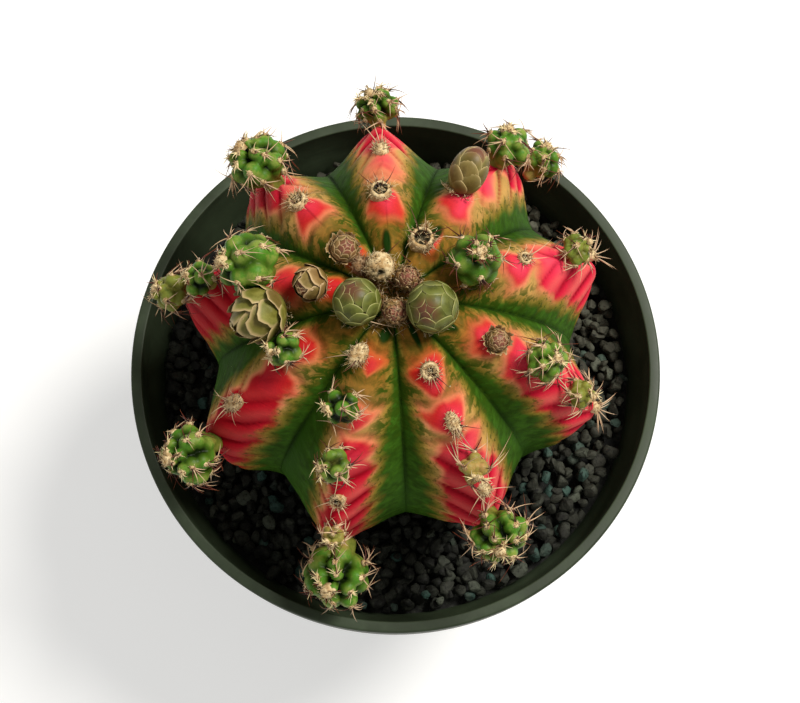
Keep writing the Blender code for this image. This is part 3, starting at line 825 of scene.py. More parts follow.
def stem_fields(degrees, azimuth, rib, side, share, growths):
    """Relief in metres, and the numbers that the skin's material reads, for a grid of places."""
    half = np.array([half_angle(int(r), int(s)) for r, s in zip(rib, side)])
    across = share * np.radians(half) * ridge_profile(degrees)[0] / MM
    along = arc_mm(degrees) + 0 * across
    signed = across * side
    wobble = wobble_field(along, signed, rib, side)
    bumps = bump_field(along, signed, rib, growths)
    streak = streak_field(along, signed, rib)

    # Where each place lies between the starts of two pleats, from 0 to 1
    chevron = np.interp(degrees, *CHEVRONS)
    shifted = degrees + chevron * share + 1.3 * wobble + 6 * (flank_number(rib, side, 1) - 0.5)
    phase = np.interp(shifted, PLEATS, range(len(PLEATS)))
    place = phase % 1.0
    depth = 0.45 + 0.55 * flank_number(np.floor(phase), rib * 2 + side, 3)
    reach = smoothstep(30, 56, degrees) * (1 - 0.5 * smoothstep(118, 140, degrees))
    window = (0.35 + 0.65 * smoothstep(0.0, 0.12, share)) * (1 - smoothstep(0.34, 0.8, share))
    strength = reach * window * depth
    swell = np.sin(np.pi * place) ** 0.55 - 0.65
    # Where painted shade falls in the crease at each pleat's start
    painted_fold_shade = np.maximum(bell(place, 0.11), bell(place - 1, 0.08)) * strength
    # Where each pleat's top gets its painted pink highlight
    painted_crest_highlight = bell(place - 0.58, 0.26) * reach * (1 - smoothstep(0.5, 0.8, share))

    # The edges of the red patches are uneven
    bent = 0.05 * np.sin(along / 2.1 + 2.1 * rib + side) + 0.04 * np.sin(along / 0.9 + signed / 2.3)
    dropped = 0.6 * np.sin(signed / 1.9 + 1.7 * rib) + 0.4 * np.sin(signed / 0.8 + along / 2.7)
    blush, creases, pink_and_painted_highlight = red_fields(degrees + dropped, rib, side, np.abs(share + bent), place)

    relief = 0.8 * bumps + 1.3 * swell * strength - 0.7 * creases + 0.12 * wobble + 0.45 * streak
    relief = relief * smoothstep(2, 12, degrees)
    start = green_start(degrees, rib, side)
    # A line along each valley's bottom for painted shade, fading further down
    painted_groove_shade = bell(1 - share, 0.05) * (1 - 0.8 * smoothstep(50, 80, degrees)) * smoothstep(3, 8, degrees)
    mottle = smoothstep(0.15, 0.5, share) * smoothstep(12, 18, degrees) * (1 - smoothstep(34, 48, degrees))
    # How far each flank turns from the sunny side, for the painted light and shade of its red
    facing = azimuth + 40 * side * np.sqrt(share) - SUNNY_AZIMUTH
    numbers = {
        "verdure": share - start - 0.05 * np.cos(TAU * place) * reach - 0.10 * bumps,
        "blush": blush,
        "painted_fold_shade": np.clip(painted_fold_shade * 1.2 + 0.3 * creases, 0, 1),
        "painted_crest_highlight": np.clip(painted_crest_highlight, 0, 1),
        "pink_and_painted_highlight": np.clip(0.8 * pink_and_painted_highlight, 0, 1),
        "mottle": 0.95 * mottle * (1 - np.clip(1.7 * blush, 0, 1)),
        "painted_sunlight": 0.60 + 0.40 * np.cos(np.radians(facing)) + 0 * along,
        "reach": degrees + 0 * share,
        "streak": streak,
        "painted_groove_shade": painted_groove_shade * 0.7,
        "flow": np.stack((signed, along + 0.35 * across, rib * 40.0 + 0 * along), axis=-1),
    }
    return relief * MM, numbers


def stem_inset(degrees, rib, side, share):
    """How far the skin lies under the ribs' envelope before its relief."""
    inset = valley_inset(degrees, share)
    for (where, which), fuller in FULL_FLANKS.items():
        here = (rib == where) * (side == which) * bell(share - 0.38, 0.30) * bell(degrees - 88, 34)
        inset = inset * (1 - fuller * here)
    return inset


def with_foot_and_poles(values):
    """A field's numbers for all points of the stem: its rows, the foot's rings and two poles."""
    values = np.concatenate((values, np.repeat(values[-1:], len(FOOT_RINGS), axis=0)))
    poles = np.array((values[0].mean(axis=0), values[-1].mean(axis=0)))
    return np.concatenate((values.reshape(-1, *values.shape[2:]), poles))


def make_stem(growths, finish):
    azimuth, rib, side, share = flank_columns()
    degrees = np.linspace(FIRST_ROW, LAST_ROW, ROWS)[:, None] + 0 * azimuth
    relief, numbers = stem_fields(degrees, azimuth, rib, side, share, growths)
    out = relief - stem_inset(degrees, rib, side, share)
    radius, z = ridge_profile(degrees)
    outward, upward = ridge_slope(degrees)
    radius = radius - upward * out
    z = z + outward * out
    turned = np.radians(azimuth)
    rings = np.stack((AXIS[0] + radius * np.cos(turned), AXIS[1] + radius * np.sin(turned), z), axis=-1)
    lowest = rings[-1]
    neck = np.array((*AXIS, NECK_Z))
    for narrow, drop in FOOT_RINGS:
        ring = neck + (lowest - neck) * (narrow, narrow, 1 - drop)
        rings = np.concatenate((rings, ring[None]))
    points = rings.reshape(-1, 3).tolist()
    points += [(*AXIS, float(ridge_profile(0.0)[1])), (*AXIS, NECK_Z)]
    shape = Shape(*numbers)
    values = {name: with_foot_and_poles(field) for name, field in numbers.items()}
    shape.add(points, grid_faces(len(rings), len(azimuth)), **values)
    shape.finish("cactus_stem_skin", finish, "stem_flesh", "cactus_stem")


# ---- offsets ------------------------------------------------------------------------------

# Each offset's lobes, in rows from its growing point down: degrees, lobes, turn, size
SMALL_ROWS = ((24, 3, 10, 0.26), (68, 4, 0, 0.42), (112, 5, 30, 0.44))
MIDDLE_ROWS = ((18, 3, 0, 0.20), (48, 5, 20, 0.32), (86, 6, 0, 0.36), (122, 5, 30, 0.40))
LARGE_ROWS = ((14, 3, 0, 0.15), (36, 5, 20, 0.21), (62, 6, 0, 0.28), (92, 7, 26, 0.32), (124, 6, 0, 0.36))
CROWN_ROWS = ((22, 5, 0, 0.17), (64, 5, 14, 0.45), (112, 5, 50, 0.46))
THREE_ROWS = ((14, 2, 0, 0.20), (64, 3, 40, 0.40), (124, 4, 20, 0.42))
# name: rows, turn in degrees, size beside the CAD offset, paleness, spine length in mm, share of
# dark spines, and the way that the growing point faces, where that isn't the CAD offset's axis
OFFSET_LOOKS = {
    "offset_rib1_crown": (CROWN_ROWS, 30, 1.12, 0.05, 4.6, 0.8, (0.20, 0.05, 0.95)),
    "offset_rib1_outer": (SMALL_ROWS, 10, 1.08, 0.55, 5.0, 0.4, None),
    "offset_rib2_middle": (MIDDLE_ROWS, 15, 1.14, 0.20, 3.8, 0.3, (0.05, 0.55, 0.8)),
    "offset_rib2_tip": (MIDDLE_ROWS, 40, 1.14, 0.35, 4.0, 0.4, (0.30, 0.55, 0.7)),
    "offset_rib3_tip": (LARGE_ROWS, 0, 1.12, 0.35, 4.4, 0.3, (-0.35, 0.5, 0.75)),
    "offset_rib4_tip": (LARGE_ROWS, 25, 1.10, 0.20, 4.4, 0.25, (-0.62, 0.35, 0.7)),
    "offset_rib5_crown": (MIDDLE_ROWS, 30, 1.22, 0.05, 3.8, 0.3, (-0.80, -0.10, 0.60)),
    "offset_rib5_middle": (SMALL_ROWS, 0, 1.08, 0.35, 4.4, 0.3, None),
    "offset_rib5_tip": (SMALL_ROWS, 50, 1.08, 0.60, 4.6, 0.4, None),
    "offset_rib6_crown": (SMALL_ROWS, 20, 1.08, 0.30, 3.6, 0.3, (-0.75, -0.35, 0.55)),
    "offset_rib6_tip": (LARGE_ROWS, 10, 1.15, 0.10, 4.2, 0.5, (-0.75, -0.3, 0.55)),
    "offset_rib7_crown": (THREE_ROWS, 80, 1.08, 0.30, 4.0, 0.2, (-0.90, -0.15, 0.40)),
    "offset_rib7_middle": (SMALL_ROWS, 20, 1.08, 0.45, 4.4, 0.3, (-0.80, -0.30, 0.50)),
    "offset_rib7_outer": (SMALL_ROWS, 0, 1.08, 0.80, 3.0, 0.2, None),
    "offset_rib7_tip": (LARGE_ROWS, 0, 1.24, 0.10, 4.8, 0.4, (-0.25, -0.6, 0.75)),
    "offset_rib8_middle": (THREE_ROWS, 50, 1.08, 0.85, 6.0, 0.2, (0.20, -0.75, 0.62)),
    "offset_rib8_tip": (LARGE_ROWS, 20, 1.15, 0.15, 5.0, 0.5, (0.0, -0.72, 0.65)),
    "offset_rib9_middle": (MIDDLE_ROWS, 0, 1.08, 0.40, 4.0, 0.3, (0.5, -0.1, 0.85)),
    "offset_rib9_outer": (SMALL_ROWS, 30, 1.08, 0.65, 4.4, 0.3, None),
}
OFFSET_GRID = (46, 70)  # rings, points on each
OFFSET_CORE = 0.52  # radius of the body between the lobes, as a share of the offset's
LOBE_POWER = 26  # how sharply the lobes meet
YOUNG_LOBES = 46  # degrees: lobes nearer to the growing point are young
# Count, rise and length of a young and a grown lobe's spines, lengths beside the offset's usual
YOUNG_SPINES = ((6, 9), (0.3, 1.5), (0.35, 0.65))
GROWN_SPINES = ((4, 7), (0.15, 0.9), (0.65, 1.3))
DARK_SPINE = 0.9  # shade
LOBE_FIBRES, TIP_FIBRES = 24, 40
BARE_BELOW = -0.72  # z of a lobe's way: a lobe that points further down has no areole


def offset_knobs(rows, turn, face, rng):
    """Way, reach and radius of each lobe, in shares of the offset's radius, and its row."""
    found = []
    for polar, count, start, size in rows:
        for i in range(count):
            around = math.radians(start + turn + 360 * i / count + rng.uniform(-8, 8))
            down = math.radians(polar + rng.uniform(-5, 5))
            ball = size * rng.uniform(0.85, 1.12)
            reach = rng.uniform(0.86, 1.0) - ball
            found.append((face @ polar_way(down, around), reach, ball, polar))
    return found


def offset_surface(knobs):
    """Ways of a fine grid, how far the offset reaches along each, the cosine of the angle to
    the nearest lobe's middle, and how far the way points to the foot."""
    ways = np.array([way[:] for _, way in sphere_ways(*OFFSET_GRID)])
    cosines = ways @ np.array([knob[0][:] for knob in knobs]).T
    reach = np.array([knob[1] for knob in knobs])
    ball = np.array([knob[2] for knob in knobs])
    inside = ball**2 - reach**2 * (1 - cosines**2)
    hit = (inside > 0) & (cosines > 0)
    lengths = np.where(hit, reach * cosines + np.sqrt(np.maximum(inside, 0)), 0.0)
    foot = smoothstep(0.70, 0.95, -ways[:, 2])
    lengths = np.column_stack((lengths, OFFSET_CORE + 0.58 * foot))
    far = (lengths**LOBE_POWER).sum(axis=1) ** (1 / LOBE_POWER)
    return ways, np.minimum(far, 1.0 + 0.10 * foot), cosines.max(axis=1), foot


def add_lobe_trim(wool, spot, seat, up, radius, look, young, rng):
    """The cushion and the spines of one lobe."""
    spine_mm, dark_share = look
    size = (0.50 + 0.08 * radius / (5 * MM)) * MM * rng.uniform(0.8, 1.2)
    add_cushion(wool, seat, size, 1.3, size * 0.6, rng, LOBE_FIBRES, shade=rng.uniform(0, 0.12))
    counts, rises, lengths = YOUNG_SPINES if young else GROWN_SPINES
    for _ in range(rng.randint(*counts)):
        way = seat.to_3x3() @ (level_way(rng.gauss(0, 1.1)) + UP * rng.uniform(*rises))
        long = spine_mm * MM * rng.uniform(*lengths)
        bend = random_unit(rng) * 0.28 - up * 0.22
        tint = CREAM if young else rng.uniform(0, 0.3)
        if rng.random() < dark_share:
            tint = DARK_SPINE
        add_spine(wool, spot, way, long, rng.uniform(0.12, 0.19) * MM, bend, tint)


def make_offset(node, growth, finish, trim, seed):
    rows, turn, swell, paleness, *spine_look, facing = OFFSET_LOOKS[node]
    rng = random.Random(seed)
    radius = growth.width / 2 * swell
    half = growth.length / 2 * swell
    centre = growth.length / 2 * (0.5 + 0.5 * swell)

    def place(way):
        return growth.frame @ Vector((way.x * radius, way.y * radius, centre + half * way.z))

    face = facing_turn(growth, facing)
    knobs = offset_knobs(rows, turn, face, rng)
    ways, far, nearest, foot = offset_surface(knobs)
    lower = smoothstep(0.2, 1.0, -ways[:, 2])
    spots = ways * far[:, None]
    spots[:, :2] *= (1 - 0.35 * lower)[:, None]
    # knob is low between the lobes, where the flesh gets painted shade
    knob = smoothstep(0.56, 0.95, far) * (1 - 0.6 * foot)
    pale = paleness + 0.5 * lower + 0.3 * smoothstep(0.975, 1.0, nearest)
    shape = Shape("knob", "pale")
    points = [place(Vector(spot)) for spot in spots.tolist()]
    shape.add(points, grid_faces(*OFFSET_GRID), knob=knob, pale=pale)
    shape.finish(node + "_flesh", finish, "offset_flesh", node)

    wool = wool_shape()
    axes = growth.frame.to_3x3()
    for way, reach, ball, polar in knobs:
        if way.z < BARE_BELOW:
            continue
        spot = place(way * (reach + ball) * 0.99)
        up = (axes @ way).normalized()
        seat = tuft_frame(spot - up * 0.1 * MM, up, axes @ (way - face @ UP))
        add_lobe_trim(wool, spot, seat, up, radius, spine_look, polar < YOUNG_LOBES, rng)
    crown = tuft_frame(place(face @ UP * 0.9), axes @ face @ UP, growth.across)
    add_cushion(wool, crown, radius * 0.20, 1.0, radius * 0.14, rng, TIP_FIBRES, shade=0.1)
    wool.finish(node + "_spines", trim, "wool_and_spines")


# ---- buds ---------------------------------------------------------------------------------

FINE_ROWS = ((12, 3), (30, 5), (49, 7), (68, 9), (88, 10), (108, 10))
PLAIN_ROWS = ((14, 3), (36, 5), (60, 6), (86, 8), (112, 8))
TALL_ROWS = ((14, 2), (34, 3), (58, 4), (84, 5), (108, 5), (132, 5))
LOOSE_ROWS = ((20, 3), (50, 4), (84, 5), (118, 6))
ARTICHOKE_ROWS = ((20, 3), (42, 4), (66, 5), (92, 6), (120, 6))


@dataclass
class BudLook:
    """How a bud looks, with shares of its radius for what its scales measure."""

    rows: tuple  # of scales, from the tip down: degrees of their middle, scales
    turn: float = 0.0
    half_high: float = 0.40
    lift: float = 0.12  # of a scale's tip
    flare: float = 0.0  # how far a scale's tip bends out
    brown: float = 0.9  # at the bud's crown
    differ: float = 0.1  # in brownness, between scales
    tan: float = 0.0
    fresh: float = 0.0  # yellow-green
    dry: float = 0.0  # paleness of a scale's edge
    ragged: float = 0.0
    collar: float = 0.0  # how far a torn papery row stands out round the foot
    size: float = 1.0  # beside the CAD bud
    facing: tuple = None  # the way of its crown, where that isn't the CAD bud's own axis
    crumbs: int = 0  # papery crumbs and hairs all over it


DRIED = BudLook(FINE_ROWS, 0, 0.34, 0.14, tan=0.85, dry=0.5, ragged=0.6, crumbs=160)
FRILLED = BudLook(FINE_ROWS, 0, 0.34, 0.12, tan=0.8)
BUD_LOOKS = {
    "bud_crown_left": BudLook(PLAIN_ROWS, 10, 0.44, 0.07, size=1.02, facing=(-0.24, 0.32, 0.92)),
    "bud_crown_right": BudLook(PLAIN_ROWS, 40, 0.44, 0.07, size=1.05, facing=(-0.30, -0.42, 0.86)),
    "bud_crown_small_back": replace(DRIED, differ=0.9, size=1.2, facing=(0.3, 0.2, 0.9)),
    "bud_crown_small_front": replace(
        DRIED, turn=20, brown=0.8, differ=0.8, tan=0.95, size=1.25, facing=(-0.2, -0.3, 0.9)
    ),
    "bud_rib2": BudLook(TALL_ROWS, 0, 0.52, 0.06, brown=0.6, differ=0.5, tan=0.42, dry=0.2, size=1.02),
    "bud_rib4": replace(
        FRILLED, turn=30, half_high=0.32, brown=1.2, differ=0.3, dry=0.5, ragged=0.14, collar=0.16,
        size=1.10, facing=(0.22, -0.16, 0.95),
    ),
    "bud_rib5_small": BudLook(
        LOOSE_ROWS, 0, 0.58, 0.10, flare=0.10, brown=0.4, differ=0.8, tan=0.75, fresh=0.5, dry=1.0,
        ragged=0.22, size=1.25, facing=(-0.55, -0.62, 0.52),
    ),
    "bud_rib5_open": BudLook(
        ARTICHOKE_ROWS, 15, 0.58, 0.13, flare=0.20, brown=0.0, differ=0.8, tan=0.10, fresh=1.0,
        dry=0.72, ragged=0.17, size=1.30, facing=(-0.80, -0.52, 0.20),
    ),
    "bud_rib9": replace(
        FRILLED, brown=1.3, differ=0.5, dry=0.6, ragged=0.3, collar=0.20, size=1.12,
        facing=(0.15, -0.25, 0.95),
    ),
}
SCALE_RINGS = (0.0, 0.3, 0.6, 0.8, 0.92, 1.0)  # shares of the way to a scale's edge
SCALE_SPOKES = 20
SCALE_THICKNESS = 0.025  # at its middle
FORM_WIDTH, FORM_LENGTH = 0.96, 0.97  # of a bud's ellipsoid, beside the CAD bud
CORE_GRID = (16, 28)  # of the body under the scales: rings, points on each
CORE_REACH = 0.91
COLLAR_SCALES = 13
FOOT_HAIRS = 90


class BudForm:
    """The ellipsoid of a bud and the turn that carries its crown to where it faces."""

    def __init__(self, growth, scale, facing):
        self.frame = growth.frame
        self.radius = growth.width / 2 * FORM_WIDTH * scale
        self.centre = growth.length / 2 * FORM_LENGTH * scale
        self.turn = facing_turn(growth, facing)

    def place(self, way, reach):
        """The point that lies a share of the ellipsoid's radius out along a way."""
        way = self.turn @ way.normalized() * reach
        local = Vector((way.x * self.radius, way.y * self.radius, (way.z + 1) * self.centre))
        return self.frame @ local


def scale_outline(turn):
    """A shield with a blunt point at its upper end."""
    x, y = math.cos(turn), math.sin(turn)
    power = 1.5 if y > 0 else 2.2
    far = (abs(x) ** power + abs(y) ** power) ** (-1 / power)
    return x * far, y * far


def scale_faces():
    """Faces of a scale: its outer side, its inner side and the edge between them."""
    inner = len(SCALE_RINGS) * SCALE_SPOKES
    edge = inner - SCALE_SPOKES
    neighbours = [(j, (j + 1) % SCALE_SPOKES) for j in range(SCALE_SPOKES)]
    faces = []
    for start in range(0, edge, SCALE_SPOKES):
        for j, k in neighbours:
            face = (start + j, start + k, start + SCALE_SPOKES + k, start + SCALE_SPOKES + j)
            if start == 0:
                face = face[:1] + face[2:]  # all points of the first ring are in one place
            faces += [face[::-1], tuple(inner + point for point in face)]
    return faces + [(edge + j, inner + edge + j, inner + edge + k, edge + k) for j, k in neighbours]


SCALE_FACES = scale_faces()


def add_scale(shape, form, look, way, half_wide, half_high, lift, rng):
    """One scale: a curved shield whose upper edge stands over the scales further in."""
    tint = look.differ * max(0.0, rng.uniform(-0.5, 1))
    across = UP.cross(way)
    across = across.normalized() if across.length > 0.02 else Vector((1, 0, 0))
    tipward = way.cross(across).normalized()
    salt = rng.uniform(0, 50)
    base = lift if lift < 0.2 else 0.5 * lift
    outer, inner, margin, browns = [], [], [], []
    for share in SCALE_RINGS:
        for j in range(SCALE_SPOKES):
            x, y = scale_outline(TAU * j / SCALE_SPOKES)
            rough = 1 + 1.6 * look.ragged * noise.noise(Vector((x * 3.5, y * 3.5, salt))) * share**2
            x, y = x * share * rough, y * share * rough
            side = (way + across * x * half_wide + tipward * y * half_high).normalized()
            curl = max(0.0, noise.noise(Vector((x * 2, y * 2, salt + 9)))) * share**3
            raised = 1 - base + lift * (0.1 + 0.45 * (y + 1)) + 0.012 * x + 0.02 * (1 - share**2)
            raised += look.ragged * 0.35 * curl + look.flare * max(0.0, y + 0.2) ** 2
            raised -= 0.012 * smoothstep(0.9, 1.0, share)
            outer.append(form.place(side, raised))
            inner.append(form.place(side, raised - SCALE_THICKNESS * (1.05 - share)))
            margin.append(share if y > -0.3 else share * 0.6)
            browns.append(look.brown * max(0.0, side.z) ** 4 + tint)
    # The inner side of each scale is painted dark as shade, less on dry scales
    under = [0.0] * len(outer) + [0.8 * (1 - 0.85 * look.dry)] * len(inner)
    tan = look.tan * rng.uniform(0.6, 1.2)
    numbers = {"tan": tan, "fresh": look.fresh * rng.uniform(0.6, 1.1), "dry": look.dry, "under": under}
    shape.add(outer + inner, SCALE_FACES, margin=margin * 2, brown=browns * 2, **numbers)


def add_bud_core(shape, form, look):
    points = [form.place(way, CORE_REACH) for _, way in sphere_ways(*CORE_GRID)]
    # The core shows between the scales, and is painted a little dark as shade
    numbers = {"tan": look.tan, "fresh": look.fresh, "dry": 0.0, "under": 0.3}
    shape.add(points, grid_faces(*CORE_GRID), margin=0.3, brown=look.brown, **numbers)


def add_collar(shape, form, look, rng):
    """A torn papery frill round the foot."""
    frill = replace(look, dry=1.0, ragged=0.35, flare=look.collar, tan=1.0, brown=0.0, differ=0.2)
    for i in range(COLLAR_SCALES):
        around = TAU * i / COLLAR_SCALES + rng.uniform(-0.2, 0.2)
        way = polar_way(math.radians(rng.uniform(96, 108)), around)
        half_high = rng.uniform(0.34, 0.44)
        add_scale(shape, form, frill, way, 0.34, half_high, look.collar * rng.uniform(0.8, 1.3), rng)


def add_hair(wool, foot, way, lengths, thick, curl, shades, rng):
    """A strand of wool with a random length, curl and shade. Sizes are in mm."""
    long = rng.uniform(*lengths) * MM
    add_fibre(wool, foot, way, long, thick * MM, random_unit(rng) * curl, rng.uniform(*shades))


def add_crumbs(wool, form, count, rng):
    for _ in range(count):
        way = random_unit(rng)
        lean = way * 0.25 + random_unit(rng)
        long = rng.uniform(0.5, 1.1) * MM
        tint = rng.choice((0.1, 0.6, 0.8))
        add_fibre(wool, form.place(way, 0.97), lean, long, 0.08 * MM, random_unit(rng) * 0.8, tint)


def add_foot_hairs(wool, growth, rng):
    seat = tuft_frame(growth.foot, growth.up, growth.along)
    for _ in range(FOOT_HAIRS):
        out = level_way(rng.uniform(0, TAU))
        foot = seat @ (out * growth.width / 2 * rng.uniform(0.5, 0.8) + UP * 0.3 * MM)
        lean = seat.to_3x3() @ (out * rng.uniform(0.4, 1.1) + UP * rng.uniform(0.2, 1.0))
        add_hair(wool, foot, lean, (0.7, 1.5), 0.08, 0.6, (0, 0.5), rng)


def make_bud(node, growth, finish, trim, seed):
    look = BUD_LOOKS[node]
    rng = random.Random(seed)
    form = BudForm(growth, look.size, look.facing)
    shape = Shape("margin", "brown", "dry", "under", "tan", "fresh")
    add_bud_core(shape, form, look)
    for index, (polar, count) in enumerate(look.rows):
        half_wide = 1.15 * math.pi / count * math.sin(math.radians(polar))
        for i in range(count):
            around = look.turn + 180 * index / count + 360 * i / count + rng.uniform(-5, 5)
            way = polar_way(math.radians(polar + rng.uniform(-2, 2)), math.radians(around))
            high = look.half_high * rng.uniform(0.94, 1.06) * (0.6 if polar < 20 else 1)
            wide = math.tan(min(1.0, half_wide)) * rng.uniform(0.95, 1.05)
            add_scale(shape, form, look, way, wide, high, look.lift * rng.uniform(0.8, 1.2), rng)
    if look.collar:
        add_collar(shape, form, look, rng)
    shape.finish(node + "_scales", finish, "bud_scales", node)

    wool = wool_shape()
    add_foot_hairs(wool, growth, rng)
    add_crumbs(wool, form, look.crumbs, rng)
    wool.finish(node + "_wool", trim, "wool_and_spines")


# The woolly bud's ball, and the brown tuft beside it
BALL_SEED = 31
BALL_GRID = (18, 28)  # rings, points on each
BALL_SIZE, BALL_FACING = 1.16, (0.05, -0.72, 0.68)
BALL_HAIRS = 420
TUFT_PLACE = Vector((-3.6, 0.6, 1.2)) * MM  # from the bud's foot
TUFT_RADIUS, TUFT_HEIGHT = 1.9 * MM, 1.7 * MM
TUFT_HAIRS, TUFT_FIBRES = 150, 120


def make_woolly_bud(node, growth, trim):
    """The bud that is only a ball of cream wool, with a hole painted dark as shade, and its brown tuft."""
    rng = random.Random(BALL_SEED)
    wool = wool_shape()
    form = BudForm(growth, BALL_SIZE, BALL_FACING)
    points, along = [], []
    for polar, way in sphere_ways(*BALL_GRID)[:-2]:
        rough = 0.10 * noise.noise(way * 3.2) + 0.05 * noise.noise(way * 8)
        # The hole and the wool round it get a low along, which paints them dark: painted shade
        points.append(form.place(way, 0.92 + rough - 0.34 * bell(polar, 0.22)))
        shaded = 0.18 * smoothstep(1.3, 0.5, polar)
        along.append(0.0 if polar < 0.3 else 0.42 + 3.2 * rough - shaded)
    points += [form.place(UP, 0.6), form.place(-UP, 0.9)]
    wool.add(points, grid_faces(*BALL_GRID), along=along + [0.0, 0.5], shade=0.0, spine=0.0)
    for _ in range(BALL_HAIRS):
        way = random_unit(rng)
        if way.z < 0.93:
            lean = way * 0.35 + random_unit(rng) * 0.9
            add_hair(wool, form.place(way, 0.93), lean, (0.6, 1.5), 0.07, 0.7, (0, 0.15), rng)
    tuft = growth.foot + TUFT_PLACE
    for _ in range(TUFT_HAIRS):
        foot = tuft + random_unit(rng) * rng.uniform(0.3, 1.9) * MM
        add_hair(wool, foot, random_unit(rng) + UP * 0.4, (0.6, 1.5), 0.10, 0.9, (0.6, 1.2), rng)
    seat = tuft_frame(tuft, growth.up, growth.along)
    add_cushion(wool, seat, TUFT_RADIUS, 1.0, TUFT_HEIGHT, rng, TUFT_FIBRES, shade=0.7)
    wool.finish(node + "_wool", trim, "wool_and_spines", node)


# Long spines in the crown: x and y of the foot from the stem's axis, in mm, degrees round
# from +x, degrees above level, length in mm, shade
CROWN_SPINES = (
    (-1.2, 8.0, 42, 25, 4.5, 0.9),
    (-2.0, 3.4, -38, 10, 5.5, 0.95),
    (9.0, -1.5, 25, 25, 6.0, 0.95),
    (1.5, -4.5, -165, 12, 6.0, 0.5),
    (3.2, -5.2, -12, 15, 5.5, 0.9),
    (-3.5, -4.6, -150, 8, 6.5, 0.2),
    (-6.0, -5.0, -20, 5, 7.5, 0.1),
    (3.5, 6.5, 150, 35, 4.0, 0.8),
)
CROWN_SEED = 77
CROWN_HAIRS, CROWN_RADIUS = 420, 7.5 * MM
CROWN_SAG = Vector((0.1, 0.1, -0.15))  # of the spines' tips


def make_crown_wool(trim):
    """The matted hairs and long dark spines in the middle of the crown."""
    rng = random.Random(CROWN_SEED)
    wool = wool_shape()
    top = Vector((*AXIS, float(ridge_profile(0.0)[1])))
    for _ in range(CROWN_HAIRS):
        out = level_way(rng.uniform(0, TAU)) * CROWN_RADIUS * math.sqrt(rng.random())
        foot = top + out + UP * rng.uniform(-0.6, 1.3) * MM
        lean = random_unit(rng)
        lean.z = abs(lean.z) * 0.35
        add_hair(wool, foot, lean, (1.2, 3.4), 0.08, 0.4, (0.1, 1.1), rng)
    for x, y, around, above, long, shade in CROWN_SPINES:
        way = polar_way(math.radians(90 - above), math.radians(around))
        foot = top + Vector((x, y, 2.2)) * MM
        add_spine(wool, foot, way, long * MM, 0.14 * MM, CROWN_SAG, shade)
    wool.finish("crown_wool", trim, "wool_and_spines")


# ---- areoles ------------------------------------------------------------------------------

SEVEN_FAN = tuple((a, 30 + 5 * (a % 3), 6.5, PALE, 0.1) for a in range(-70, 81, 25))
TEN_FAN = tuple((a, 15 + 7 * (a % 4), 7.5 - abs(a) / 40, PALE, 0.1) for a in range(-78, 80, 17))
